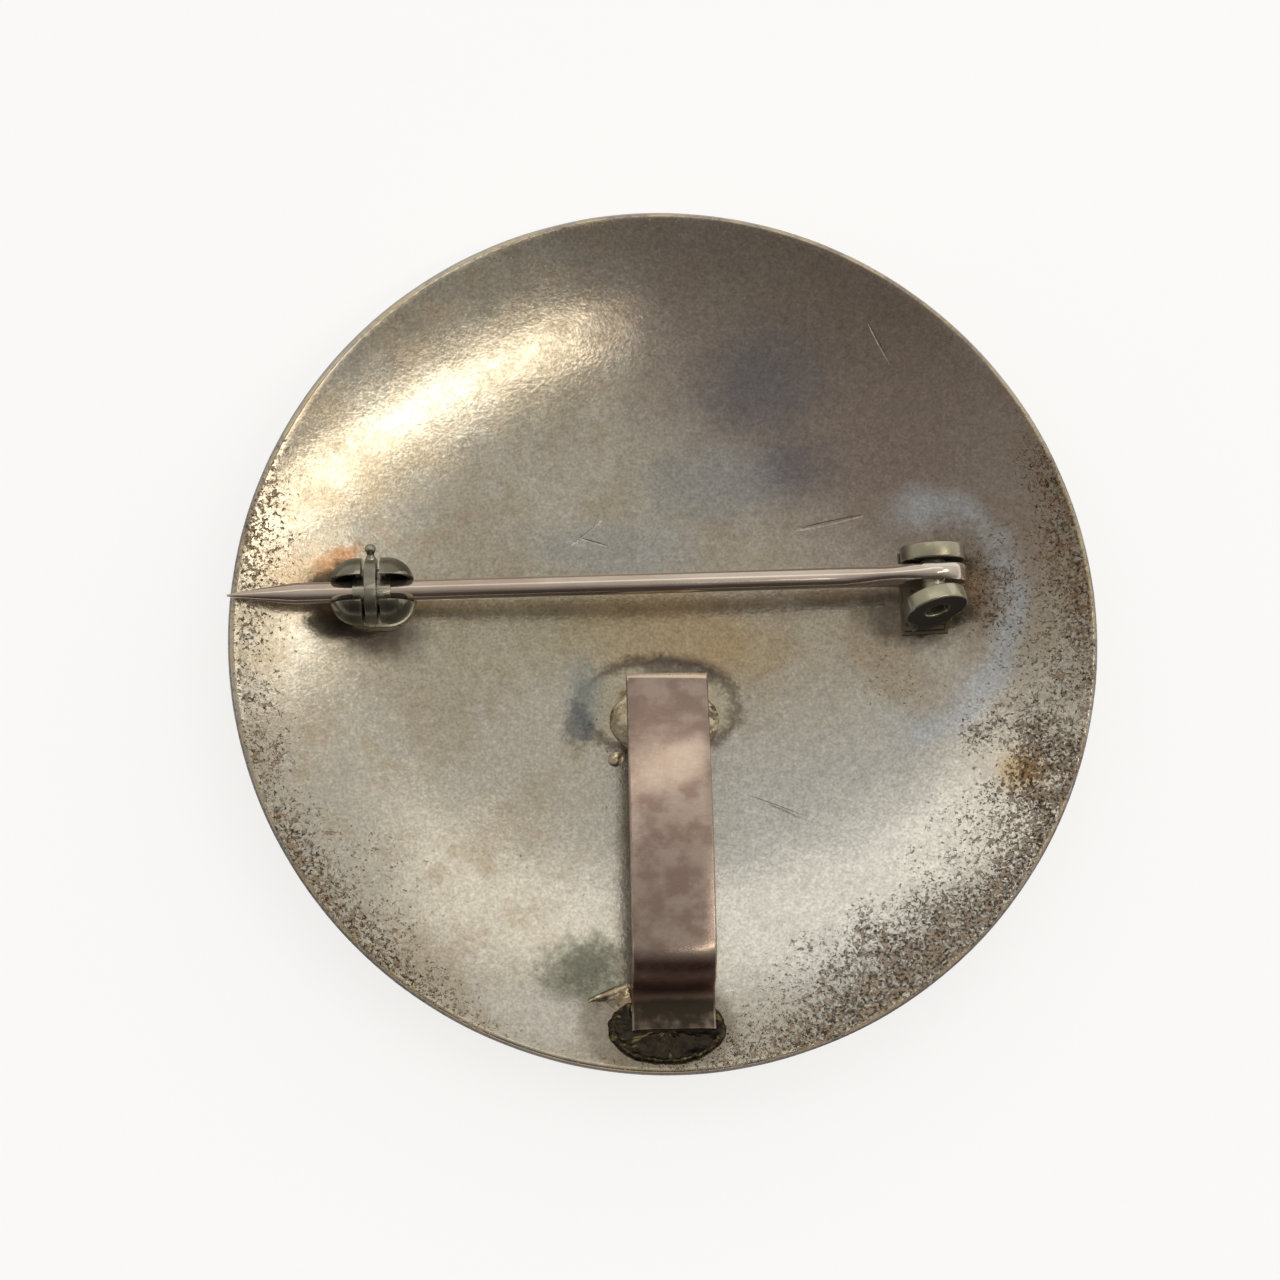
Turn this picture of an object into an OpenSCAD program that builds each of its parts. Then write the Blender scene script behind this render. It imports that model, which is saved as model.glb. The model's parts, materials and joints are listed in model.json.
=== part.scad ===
// Domed round badge, lying on its convex face with its back up.
// The back carries a hinged pin with a turning safety catch and a soldered strap.
// X runs along the pin towards its hinge, Y runs from the strap towards the pin, Z is up.

/* [Dish] */
// Diameter of the round sheet dish
disc_d = 50; // [44:1:60]
// Thickness of the sheet
sheet_t = 0.75; // [0.6:0.05:1]
// Radius of curvature of the flatter middle, on the outside
middle_curve = 90; // [80:5:140]
// Distance from the centre at which the steeper edge curve begins
edge_start = 12; // [9:0.5:15]
// Slope of the sheet at its rim, in degrees
rim_slope = 27; // [22:1:32]
// Distance from the rim to the outer turned groove of the front
groove_inset = 2.2; // [1.5:0.1:4]
// Distance between the two turned grooves of the front
groove_gap = 1.1; // [0.8:0.1:2]
// Radius of the tool that turned the grooves
groove_tool = 0.35; // [0.2:0.05:0.5]
// Depth of the grooves
groove_depth = 0.15; // [0.1:0.05:0.25]

/* [Pin] */
// Diameter of the pin wire
pin_d = 1.2; // [1:0.05:1.25]
// Distance of the pin line from the centre of the dish
pin_offset = 2.69; // [1.5:0.1:5]
// Angle of the pin line against X, in degrees
pin_slant = 2.2; // [0:0.1:4]
// Height of the pin axis over the rim of the dish
pin_over_rim = 0.38; // [0.3:0.02:1.5]
// Distance from the point of the pin to the rim
tip_inset = 0.06; // [0.05:0.01:3]
// Length of the tapered point
taper_len = 3.8; // [3:0.1:8]
// Radius of the very tip
tip_r = 0.06; // [0.05:0.01:0.15]
// Radius of the flattened eye at the hinge
eye_r = 1.85; // [1.6:0.05:2]
// Thickness of the flattened eye
eye_t = 0.95; // [0.6:0.05:0.95]
// Length over which the wire turns into the flat eye
neck_len = 3.4; // [2.5:0.1:5]

/* [Hinge] */
// Distance from the pivot to the rim, along the pin
hinge_inset = 9.5; // [8:0.1:12]
// Radius of the round ears
ear_r = 1.85; // [1.75:0.05:2.1]
// Thickness of the ears
ear_t = 0.88; // [0.6:0.02:1]
// Gap between the eye and each ear, at the pivot
ear_gap = 0.3; // [0.25:0.05:0.5]
// Gap between the eye and the leaning ear, where they are nearest
lean_gap = 0.14; // [0.1:0.02:0.3]
// Lean of the lower ear towards the eye, in degrees
ear_lean = 16; // [0:1:18]
// Turn of the lower ear seen from above, in degrees
ear_turn = 12; // [0:1:15]
// Width of the ear stems where they meet the base
stem_w = 2.1; // [2:0.1:3.2]
// Diameter of the rivet
rivet_d = 1.35; // [1:0.05:1.45]
// Depth of the rivet end below the face of the lower ear
rivet_recess = 0.45; // [0.2:0.05:0.5]

/* [Catch] */
// Distance from the middle of the catch to the rim, along the pin
catch_inset = 8.2; // [7.5:0.1:11]
// Outer radius of the barrel
barrel_r = 1.9; // [1.8:0.05:2.2]
// Length of the barrel
barrel_len = 4.74; // [4.4:0.1:5.5]
// Rounding of the barrel ends
barrel_round = 1.5; // [1:0.05:1.6]
// Wall of the barrel
barrel_wall = 0.34; // [0.25:0.02:0.4]
// Wall beside the ring groove, which carries the roller
web_t = 0.3; // [0.25:0.05:0.4]
// Width of the slot that the pin drops into
slot_w = 1.45; // [1.4:0.05:1.5]
// Width of the ring that turns the roller
ring_w = 0.64; // [0.6:0.02:0.8]
// Outer radius of the ring
ring_r = 1.88; // [1.8:0.02:2.2]
// Wall of the roller tube
roller_wall = 0.15; // [0.12:0.01:0.2]
// Length of the roller tube
roller_len = 2.1; // [2:0.05:2.4]
// Reach of the lever, from the pin axis to its end
lever_reach = 2.7; // [2.5:0.05:3.2]
// Width of the lever, along the pin
lever_w = 0.64; // [0.5:0.02:0.74]
// Thickness of the lever
lever_t = 0.5; // [0.4:0.05:0.7]
// Radius of the knob at the end of the lever
knob_r = 0.36; // [0.3:0.02:0.45]
// Angle of the lever over the dish when the catch is closed, in degrees
lever_rest = 20; // [10:1:30]
// Turn that brings the roller's slot to the top, in degrees
roller_turn = 125; // [115:1:135]

/* [Strap] */
// Width of the strap
strap_w = 4.7; // [3.5:0.1:6]
// Thickness of the strap
strap_t = 0.6; // [0.4:0.05:0.8]
// Turn of the strap against the Y axis, in degrees
strap_slant = 1.1; // [0:0.1:3]
// Shift of the strap along X
strap_shift = -0.03; // [-1:0.01:1]
// Distance from the end of the strap's foot to the rim
foot_inset = 2.4; // [2:0.1:4]
// Length of the flat foot
foot_len = 1.6; // [1:0.05:2.5]
// Radius of the bend above the foot, in the middle of the sheet
foot_bend = 0.8; // [0.6:0.05:1.2]
// Radius of the bend at the top of the leg, in the middle of the sheet
shoulder_bend = 2.3; // [1.8:0.1:3]
// Steepness of the leg, in degrees
leg_angle = 75; // [65:1:82]
// Radius of the long arch, in the middle of the sheet
arch_curve = 44; // [38:1:60]
// Angle that the long arch sweeps, in degrees
arch_angle = 20.5; // [16:0.5:22]

/* [Post] */
// Distance from the free end of the strap to the middle of the post
post_back = 2.5; // [2.2:0.1:3]
// Length of the post across the strap
post_len = 4.2; // [3.6:0.1:5]
// Width of the post along the strap
post_w = 2; // [1.6:0.1:2.6]
// Width of the solder fillet around the post
post_fillet = 1.2; // [0.8:0.05:1.4]
// Height of the solder fillet around the post
post_fillet_h = 0.8; // [0.5:0.05:1.2]

/* [Solder pool] */
// Distance from the rim to the middle of the solder pool at the foot
pool_inset = 2.6; // [2.4:0.05:4]
// Length of the pool across the strap
pool_len = 6.7; // [5.8:0.1:8]
// Width of the pool along the strap
pool_w = 4.2; // [3:0.1:4.3]
// Shift of the pool along X, against the foot
pool_shift = -0.4; // [-0.6:0.1:0.6]
// Height of the pool over the sheet
pool_h = 0.4; // [0.3:0.05:0.6]
// Distance of the loose drop of solder from the centre
drop_r = 7.54; // [7.2:0.02:9]
// Direction of the drop, in degrees
drop_angle = -111.8; // [-125:0.2:-108]
// Radius of the drop
drop_spread = 0.46; // [0.3:0.02:0.6]
// Height of the drop
drop_h = 0.2; // [0.1:0.02:0.3]

/* [Fits] */
// Clearance of the pin in the roller
pin_fit = 0.05; // [0.03:0.01:0.08]
// Clearance of the roller in its two webs
roller_fit = 0.05; // [0.03:0.01:0.08]
// Clearance of the eye on the rivet
eye_fit = 0.05; // [0.03:0.01:0.08]
// Clearance of the rivet in the ears
rivet_fit = 0.01; // [0.01:0.005:0.03]
// Gap on each side of the ring in its groove
ring_gap = 0.2; // [0.12:0.01:0.22]
// Layer of solder under the bases and the foot
solder_t = 0.12; // [0.08:0.01:0.2]
// Thickness of the base plates of the catch and the hinge
base_t = 0.6; // [0.4:0.05:0.8]
// Margin of the hinge base around the ear stems
base_margin = 0.1; // [0.1:0.05:0.4]
// Inset of the catch base against the barrel
base_inset = 0.3; // [0.1:0.05:0.5]
// Width of each cheek under the barrel, along the pin
cheek_len = 1.1; // [0.8:0.05:1.3]
// Width of each cheek under the barrel, across the pin
cheek_w = 1.9; // [1.5:0.05:2.2]
// Room between the ring and the catch base
ring_room = 0.25; // [0.2:0.05:0.4]
// Rim of solder that shows around the base plates
solder_rim = 0.2; // [0.2:0.05:0.8]

/* [Hidden] */

dish_fn = 360;
round_fn = 96;
arc_steps = 10;
bend_steps = 6;
far = 40;
eps = 0.01;

// The dish is two tangent arcs, turned about Z
disc_r = disc_d / 2;
edge_angle = asin(edge_start / middle_curve);
edge_curve = (disc_r - edge_start) / (sin(rim_slope) - sin(edge_angle));
middle_c = [0, middle_curve];
edge_c = middle_c + (middle_curve - edge_curve) * [sin(edge_angle), -cos(edge_angle)];
join_r = (middle_curve - sheet_t) * sin(edge_angle);
rim_top = edge_c[1] - (edge_curve - sheet_t) * cos(rim_slope);

// Height and slope of the hollow side at distance r from the centre
function inner_z(r) = r < join_r
    ? middle_c[1] - sqrt(pow(middle_curve - sheet_t, 2) - r * r)
    : edge_c[1] - sqrt(pow(edge_curve - sheet_t, 2) - pow(r - edge_c[0], 2));
function inner_slope(r) = r < join_r
    ? asin(r / (middle_curve - sheet_t))
    : asin((r - edge_c[0]) / (edge_curve - sheet_t));
function turned(p, a) = [p[0] * cos(a) - p[1] * sin(a), p[0] * sin(a) + p[1] * cos(a)];

// The pin line
pin_r = pin_d / 2;
pin_z = rim_top + pin_over_rim;
half_chord = sqrt(disc_r * disc_r - pin_offset * pin_offset);
tip_x = tip_inset - half_chord;
catch_x = catch_inset - half_chord;
hinge_x = half_chord - hinge_inset;
catch_xy = turned([catch_x, pin_offset], pin_slant);
hinge_xy = turned([hinge_x, pin_offset], pin_slant);

// The hinge
upper_y = eye_t / 2 + ear_gap + ear_t / 2;
lean_reach = ear_r * sqrt(pow(sin(ear_lean), 2) + pow(sin(ear_turn), 2));
lower_y = -(eye_t / 2 + lean_gap + ear_t / 2 + lean_reach);
lean_step = ear_r / 2 * tan(ear_lean) + stem_w / 2 * sin(ear_turn);
rivet_r = rivet_d / 2;
hinge_base_len = stem_w + 2 * base_margin;
hinge_base_w = upper_y - lower_y + lean_step + ear_t + 2 * base_margin;
hinge_base_y = (upper_y + lower_y - lean_step) / 2;
hinge_seat_xy = turned([hinge_x, pin_offset + hinge_base_y], pin_slant);

// The catch
groove_half = ring_w / 2 + ring_gap;
roller_bore = pin_r + pin_fit;
roller_r = roller_bore + roller_wall;
web_bore = roller_r + roller_fit;
pass_w = pin_d + 2 * pin_fit;
pass_angle = 90 - roller_turn;
catch_base_len = barrel_len - 2 * base_inset;
catch_base_w = 2 * (barrel_r - base_inset);

// The strap, from its foot to its free end, in the plane of u (towards -Y) and Z
foot_r = disc_r - foot_inset;
foot_mid = foot_r - foot_len * cos(inner_slope(foot_r)) / 2;
foot_slope = inner_slope(foot_mid);
foot_lift = strap_t / 2 + solder_t;
foot_c = [foot_mid, inner_z(foot_mid)] + foot_lift * [-sin(foot_slope), cos(foot_slope)];
foot_start = foot_c - foot_len / 2 * [cos(foot_slope), sin(foot_slope)];
foot_end = foot_c + foot_len / 2 * [cos(foot_slope), sin(foot_slope)];
foot_bend_c = foot_start + foot_bend * [-sin(foot_slope), cos(foot_slope)];
leg_foot = foot_bend_c + foot_bend * [-sin(leg_angle), -cos(leg_angle)];
shoulder_c = leg_foot - shoulder_bend * [sin(leg_angle), cos(leg_angle)];
arch_c = shoulder_c + (shoulder_bend - arch_curve) * [0, 1];
strap_end = arch_c + arch_curve * [-sin(arch_angle), cos(arch_angle)];
post_u = strap_end[0] + post_back;

// Points along an arc, its angles counted from straight down towards +x
function arc(c, r, from, to, steps, first) = [
    for (i = [first : steps])
        let (a = from + (to - from) * i / steps) c + r * [sin(a), -cos(a)]
];
function reversed(list) = [for (i = [len(list) - 1 : -1 : 0]) list[i]];

// The dish's section at a depth into the sheet
function dish_side(depth) = concat(
    arc(middle_c, middle_curve - depth, 0, edge_angle, arc_steps, 0),
    arc(edge_c, edge_curve - depth, edge_angle, rim_slope, arc_steps, 1)
);

// The space over the hollow side of the dish
module dish_hollow() {
    inner = dish_side(sheet_t);
    rim = inner[len(inner) - 1];
    rotate_extrude($fn = dish_fn) polygon(concat(inner, [[rim[0], far / 2], [0, far / 2]]));
}

// Puts its children on the hollow side at distance r and angle a, square to the sheet
module on_dish(r, a) {
    translate([r * cos(a), r * sin(a), inner_z(r)])
        rotate([0, 0, a]) rotate([0, -inner_slope(r), 0]) rotate([0, 0, -a]) children();
}

module on_catch_seat() {
    on_dish(norm(catch_xy), atan2(catch_xy[1], catch_xy[0])) rotate([0, 0, pin_slant]) children();
}

module on_hinge_seat() {
    on_dish(norm(hinge_seat_xy), atan2(hinge_seat_xy[1], hinge_seat_xy[0]))
        rotate([0, 0, pin_slant]) children();
}

// Puts its children on the pin axis at distance x along it
module on_pin(x) {
    rotate([0, 0, pin_slant]) translate([x, pin_offset, pin_z]) children();
}

// Rods along X and Y, centred
module rod_x(r, l) {
    rotate([0, 90, 0]) cylinder(r = r, h = l, center = true, $fn = round_fn);
}

module rod_y(r, l) {
    rotate([90, 0, 0]) cylinder(r = r, h = l, center = true, $fn = round_fn);
}

// A plate with round ends, its length along X
module slab(l, w, h) {
    for (side = [-1, 1]) {
        translate([side * (l - w) / 2, 0, 0]) cylinder(d = w, h = h, $fn = round_fn);
    }
    translate([-(l - w) / 2, -w / 2, 0]) cube([l - w, w, h]);
}

module badge_dish() {
    color([0.66, 0.63, 0.56]) difference() {
        rotate_extrude($fn = dish_fn) polygon(concat(dish_side(0), reversed(dish_side(sheet_t))));
        for (i = [0, 1]) {
            turned_groove(disc_r - groove_inset - i * groove_gap);
        }
    }
}

module turned_groove(r) {
    angle = asin((r - edge_c[0]) / edge_curve);
    reach = edge_curve + groove_tool - groove_depth;
    rotate_extrude($fn = dish_fn)
        translate(edge_c + reach * [sin(angle), -cos(angle)]) circle(r = groove_tool, $fn = round_fn);
}

// One face of the strap, from the end of its foot to its free end: side 1 is the upper face
function arch_side(side) =
    arc(arch_c, arch_curve + side * strap_t / 2, 180, 180 + arch_angle, arc_steps, 1);
function strap_side(side) = concat(
    [foot_end + side * strap_t / 2 * [-sin(foot_slope), cos(foot_slope)]],
    arc(foot_bend_c, foot_bend - side * strap_t / 2, foot_slope, -leg_angle, bend_steps, 0),
    arc(shoulder_c, shoulder_bend + side * strap_t / 2, 180 - leg_angle, 180, bend_steps, 0),
    arch_side(side)
);

module strap_profile() {
    polygon(concat(strap_side(1), reversed(strap_side(-1))));
}

// Stands a flat drawing of u and Z upright, with u towards -Y
module stand_up(w) {
    rotate([0, 0, strap_slant]) translate([strap_shift, 0, 0]) rotate([90, 0, -90])
        linear_extrude(height = w, center = true) children();
}

module strap() {
    color([0.5, 0.42, 0.4]) stand_up(strap_w) strap_profile();
}

module on_post() {
    rotate([0, 0, strap_slant]) translate([strap_shift, -post_u, 0]) children();
}

module strap_post() {
    color([0.5, 0.46, 0.38]) intersection() {
        on_post() slab(post_len, post_w, far / 2);
        dish_hollow();
        stand_up(far) polygon(concat(arch_side(-1), [[0, 0], [far / 2, 0]]));
    }
}

module solder_post() {
    color([0.72, 0.66, 0.5]) difference() {
        intersection() {
            on_post() slab(post_len + 2 * post_fillet, post_w + 2 * post_fillet,
                inner_z(post_u) + post_fillet_h);
            dish_hollow();
        }
        on_post() slab(post_len, post_w, far / 2);
    }
}

// A low dome of solder on the dish
module dome(spread, h) {
    ball_r = (spread * spread + h * h) / (2 * h);
    translate([0, 0, h - ball_r]) sphere(r = ball_r, $fn = round_fn);
}

// The pool that holds the foot, open where the strap's leg leaves it
module solder_foot() {
    color([0.25, 0.23, 0.2]) difference() {
        intersection() {
            on_dish(disc_r - pool_inset, strap_slant - 90) rotate([0, 0, strap_slant])
                translate([strap_shift + pool_shift, 0, -pool_h]) slab(pool_len, pool_w, 2 * pool_h);
            dish_hollow();
        }
        stand_up(strap_w) strap_profile();
        stand_up(strap_w) translate([0, inner_z(foot_mid)]) square([foot_start[0], far]);
    }
}

module solder_drops() {
    color([0.75, 0.75, 0.72]) {
        intersection() {
            on_dish(drop_r, drop_angle) dome(drop_spread, drop_h);
            dish_hollow();
        }
    }
}

// The barrel's outline, turned about its own axis
module barrel(r, half, corner, x0, x1) {
    rotate([0, 90, 0]) rotate_extrude($fn = round_fn) intersection() {
        union() {
            translate([0, -half]) square([r - corner, 2 * half]);
            translate([0, corner - half]) square([r, 2 * (half - corner)]);
            for (side = [-1, 1]) {
                translate([r - corner, side * (half - corner)]) circle(r = corner, $fn = round_fn);
            }
        }
        translate([0, x0]) square([far, x1 - x0]);
    }
}

module barrel_half(side) {
    half = barrel_len / 2;
    wall = barrel_wall;
    start = groove_half;
    room = groove_half + web_t;
    difference() {
        mirror([side < 0 ? 1 : 0, 0, 0]) difference() {
            barrel(barrel_r, half, barrel_round, start, half);
            barrel(barrel_r - wall, half - wall, barrel_round - wall, room, half - wall);
            translate([start, 0, 0]) rod_x(web_bore, 2 * web_t + eps);
            rod_x(slot_w / 2, 2 * barrel_len);
        }
        translate([-far / 2, -slot_w / 2, 0]) cube([far, slot_w, far]);
    }
}

module catch_shell_left() {
    color([0.43, 0.42, 0.35]) on_pin(catch_x) barrel_half(-1);
}

module catch_shell_right() {
    color([0.43, 0.42, 0.35]) on_pin(catch_x) barrel_half(1);
}

module catch_plate(grow) {
    slab(catch_base_len + 2 * grow, catch_base_w + 2 * grow, base_t);
}

// A plate square to the sheet and two upright cheeks that carry the barrel
module catch_base() {
    color([0.4, 0.39, 0.33]) difference() {
        intersection() {
            union() {
                on_catch_seat() translate([0, 0, solder_t]) catch_plate(0);
                on_pin(catch_x) for (side = [-1, 1]) {
                    translate([side * (groove_half + cheek_len / 2), 0, -far / 4])
                        cube([cheek_len, cheek_w, far / 2], center = true);
                }
            }
            on_catch_seat() translate([-far / 2, -far / 2, solder_t]) cube(far);
        }
        on_pin(catch_x) barrel(barrel_r, barrel_len / 2, barrel_round, -far, far);
        on_pin(catch_x) rod_x(ring_r + ring_room, 2 * groove_half);
    }
}

module catch_solder() {
    color([0.62, 0.58, 0.46]) difference() {
        intersection() {
            on_catch_seat() translate([0, 0, -base_t / 2]) catch_plate(solder_rim);
            dish_hollow();
        }
        on_catch_seat() translate([0, 0, solder_t]) catch_plate(0);
    }
}

module hinge_plate(grow) {
    plate = [hinge_base_len + 2 * grow, hinge_base_w + 2 * grow, base_t];
    translate([0, 0, base_t / 2]) cube(plate, center = true);
}

module hinge_base() {
    color([0.6, 0.58, 0.48]) on_hinge_seat() translate([0, 0, solder_t]) hinge_plate(0);
}

module hinge_solder() {
    color([0.66, 0.62, 0.5]) difference() {
        intersection() {
            on_hinge_seat() translate([0, 0, -base_t / 2]) hinge_plate(solder_rim);
            dish_hollow();
        }
        on_hinge_seat() translate([0, 0, solder_t]) hinge_plate(0);
    }
}

// A round ear, leaning from the top of an upright stem that stands on the hinge base
module ear(y, lean, turn) {
    difference() {
        on_pin(hinge_x) translate([0, y, 0]) rotate([0, 0, turn]) {
            rotate([lean, 0, 0]) rod_y(ear_r, ear_t);
            translate([-stem_w / 2, ear_r / 2 * tan(lean) - ear_t / 2, -far / 4 - ear_r / 2])
                cube([stem_w, ear_t, far / 4]);
        }
        on_hinge_seat() translate([-far / 2, -far / 2, solder_t + base_t - far]) cube(far);
        on_pin(hinge_x) rod_y(rivet_r + rivet_fit, far / 4);
    }
}

module hinge_ear_upper() {
    color([0.67, 0.65, 0.55]) ear(upper_y, 0, 0);
}

module hinge_ear_lower() {
    color([0.67, 0.65, 0.55]) ear(lower_y, -ear_lean, ear_turn);
}

module hinge_rivet() {
    from = lower_y - ear_t / 2 + rivet_recess;
    to = upper_y + ear_t / 2;
    color([0.5, 0.48, 0.42]) on_pin(hinge_x) translate([0, (from + to) / 2, 0]) rod_y(rivet_r, to - from);
}

// A round wire with a tapered point and a flat, drilled eye
module pin_stem() {
    wire_len = hinge_x - eye_r - neck_len / 2 - tip_x;
    color([0.6, 0.55, 0.5]) difference() {
        union() {
            on_pin(tip_x) rotate([0, 90, 0]) rotate_extrude($fn = round_fn) polygon([
                [0, 0],
                [tip_r, 0],
                [pin_r, taper_len],
                [pin_r, wire_len],
                [0, wire_len],
            ]);
            on_pin(hinge_x) rotate([90, 0, 0])
                linear_extrude(height = eye_t, center = true) eye_profile();
        }
        on_pin(hinge_x) rod_y(rivet_r + eye_fit, far / 4);
    }
}

// The eye and its neck, which narrows to the height of the wire
module eye_profile() {
    neck_end = 0.7 * pin_r;
    touch = acos((eye_r - neck_end) / (eye_r + neck_len));
    circle(r = eye_r, $fn = round_fn);
    polygon([
        eye_r * [-cos(touch), sin(touch)],
        [-eye_r - neck_len, neck_end],
        [-eye_r - neck_len, -neck_end],
        eye_r * [-cos(touch), -sin(touch)],
    ]);
}

// The roller's way for the pin, which points up when the catch is open
module pin_way() {
    rotate([pass_angle, 0, 0]) translate([-far / 2, 0, -pass_w / 2]) cube([far, far, pass_w]);
}

module roller_tube() {
    color([0.62, 0.6, 0.5]) on_pin(catch_x) difference() {
        rod_x(roller_r, roller_len);
        rod_x(roller_bore, 2 * roller_len);
        pin_way();
    }
}

module roller_ring() {
    color([0.5, 0.49, 0.42]) on_pin(catch_x) difference() {
        rod_x(ring_r, ring_w);
        rod_x(roller_r, 2 * ring_w);
        pin_way();
    }
}

module roller_lever() {
    color([0.5, 0.49, 0.42]) on_pin(catch_x) rotate([lever_rest, 0, 0]) difference() {
        union() {
            translate([-lever_w / 2, 0, -lever_t / 2]) cube([lever_w, lever_reach - knob_r, lever_t]);
            translate([0, lever_reach - knob_r, 0]) rod_x(knob_r, lever_w);
        }
        rod_x(ring_r, 2 * ring_w);
    }
}

badge_dish();
strap();
strap_post();
solder_post();
solder_foot();
solder_drops();
catch_base();
catch_solder();
catch_shell_left();
catch_shell_right();
roller_tube();
roller_ring();
roller_lever();
hinge_base();
hinge_solder();
hinge_ear_upper();
hinge_ear_lower();
hinge_rivet();
pin_stem();
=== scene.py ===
# %% [markdown]
# # A domed cap badge, seen from its back
# The badge is a thin round dish of silver that lies on its domed front. On its hollow back
# sit a hinged pin, a small safety catch for the pin's point, and a strap that is soldered
# on to hold a ribbon. The sizes and places of all of them come from the measured model,
# which is loaded first. Each piece is then made again with the soft edges, the lumps of
# solder and the tarnish that the real metal has.

# %% Load the measured model
import json
import math

import bmesh
import bpy
from mathutils import Matrix, Vector

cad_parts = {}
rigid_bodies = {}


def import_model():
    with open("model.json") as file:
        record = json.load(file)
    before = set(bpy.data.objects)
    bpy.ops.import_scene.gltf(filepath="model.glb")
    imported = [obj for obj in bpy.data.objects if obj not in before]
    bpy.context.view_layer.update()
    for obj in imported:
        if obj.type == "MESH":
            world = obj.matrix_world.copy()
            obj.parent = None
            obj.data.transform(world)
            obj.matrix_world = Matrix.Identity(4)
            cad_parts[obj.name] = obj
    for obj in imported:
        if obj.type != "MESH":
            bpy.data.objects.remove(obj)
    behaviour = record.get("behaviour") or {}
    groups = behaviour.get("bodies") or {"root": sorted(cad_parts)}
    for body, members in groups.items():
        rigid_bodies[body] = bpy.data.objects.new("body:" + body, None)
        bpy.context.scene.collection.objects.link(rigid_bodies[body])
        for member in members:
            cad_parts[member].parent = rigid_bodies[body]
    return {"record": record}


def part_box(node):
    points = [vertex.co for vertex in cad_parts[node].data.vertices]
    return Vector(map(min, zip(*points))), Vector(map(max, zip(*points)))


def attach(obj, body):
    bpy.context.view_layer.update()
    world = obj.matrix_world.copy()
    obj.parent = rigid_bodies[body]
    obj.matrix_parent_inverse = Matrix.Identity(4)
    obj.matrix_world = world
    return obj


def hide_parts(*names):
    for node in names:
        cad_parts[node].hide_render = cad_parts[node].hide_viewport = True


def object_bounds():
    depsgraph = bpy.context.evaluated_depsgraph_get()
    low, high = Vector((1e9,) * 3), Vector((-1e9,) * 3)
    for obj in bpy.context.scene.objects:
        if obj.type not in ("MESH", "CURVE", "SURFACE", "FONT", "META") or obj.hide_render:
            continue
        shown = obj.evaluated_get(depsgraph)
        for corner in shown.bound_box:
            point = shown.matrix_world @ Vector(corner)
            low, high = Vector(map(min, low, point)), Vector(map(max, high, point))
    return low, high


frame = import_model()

mm = 0.001
cad_box = [list(corner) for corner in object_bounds()]
joints = {joint["name"]: joint for joint in frame["record"]["behaviour"]["joints"]}
hinge_spot = Vector(joints["pin_hinge"]["pos_m"])
catch_spot = Vector(joints["catch_turn"]["pos_m"])
pin_way = Vector(joints["catch_turn"]["axis"])
pin_turn = math.atan2(pin_way.y, pin_way.x)
print("box", cad_box)
print("pin turned by", round(math.degrees(pin_turn), 2), "degrees")

# %% [markdown]
# ## Small helpers
# The same few moves come back for every piece: start from a primitive, select faces by
# where they are or which way they face, cut with another shape, soften the edges, and set
# the piece down in its place. A finished piece has its place in its mesh, so its object
# stays at the origin.

# %% Helpers for starting and finishing a piece
along_x, along_y = (0, math.pi / 2, 0), (math.pi / 2, 0, 0)
weld_distance = 1e-6


def start(name):
    piece = bpy.context.object
    piece.name = name
    piece.data.name = name
    bpy.ops.object.transform_apply(location=True, rotation=True, scale=True)
    return piece


def cylinder(name, points, radius, depth, at=(0, 0, 0), turn=(0, 0, 0), factors=(1, 1, 1)):
    bpy.ops.object.select_all(action='DESELECT')
    bpy.ops.mesh.primitive_cylinder_add(vertices=points, radius=radius, depth=depth,
                                        location=at, rotation=turn)
    bpy.context.object.scale = factors
    return start(name)


def only(piece):
    bpy.ops.object.select_all(action='DESELECT')
    piece.select_set(True)
    bpy.context.view_layer.objects.active = piece


def finish_modifier(piece, modifier):
    only(piece)
    bpy.ops.object.modifier_apply(modifier=modifier.name)


def soften(piece, width, steps=3, angle=35):
    bevel = piece.modifiers.new("soften", 'BEVEL')
    bevel.width = width
    bevel.segments = steps
    bevel.limit_method = 'ANGLE'
    bevel.angle_limit = math.radians(angle)
    finish_modifier(piece, bevel)


def cut(piece, cutter, how='DIFFERENCE'):
    boolean = piece.modifiers.new("cut", 'BOOLEAN')
    boolean.operation = how
    boolean.object = cutter
    boolean.solver = 'EXACT'
    finish_modifier(piece, boolean)
    bpy.data.objects.remove(cutter)


def set_down(piece, spot, turn=0.0, tilt=0.0):
    only(piece)
    piece.matrix_world = (Matrix.Translation(spot) @ Matrix.Rotation(turn, 4, 'Z')
                          @ Matrix.Rotation(tilt, 4, 'X'))
    bpy.ops.object.transform_apply(location=True, rotation=True, scale=True)


def hand_in(piece, body, slot, *nodes, smooth=40):
    only(piece)
    bpy.ops.object.shade_smooth_by_angle(angle=math.radians(smooth))
    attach(piece, body)
    if nodes:
        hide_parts(*nodes)
    low = [min(v.co[i] for v in piece.data.vertices) / mm for i in range(3)]
    high = [max(v.co[i] for v in piece.data.vertices) / mm for i in range(3)]
    print(piece.name, len(piece.data.polygons), "faces, from",
          [round(v, 2) for v in low], "to", [round(v, 2) for v in high], "mm")


# %% Helpers for edit mode
def edit():
    bpy.ops.object.mode_set(mode='EDIT')
    bpy.ops.mesh.select_mode(type='VERT')
    bpy.ops.mesh.select_all(action='SELECT')


def done():
    bpy.ops.object.mode_set(mode='OBJECT')


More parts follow.
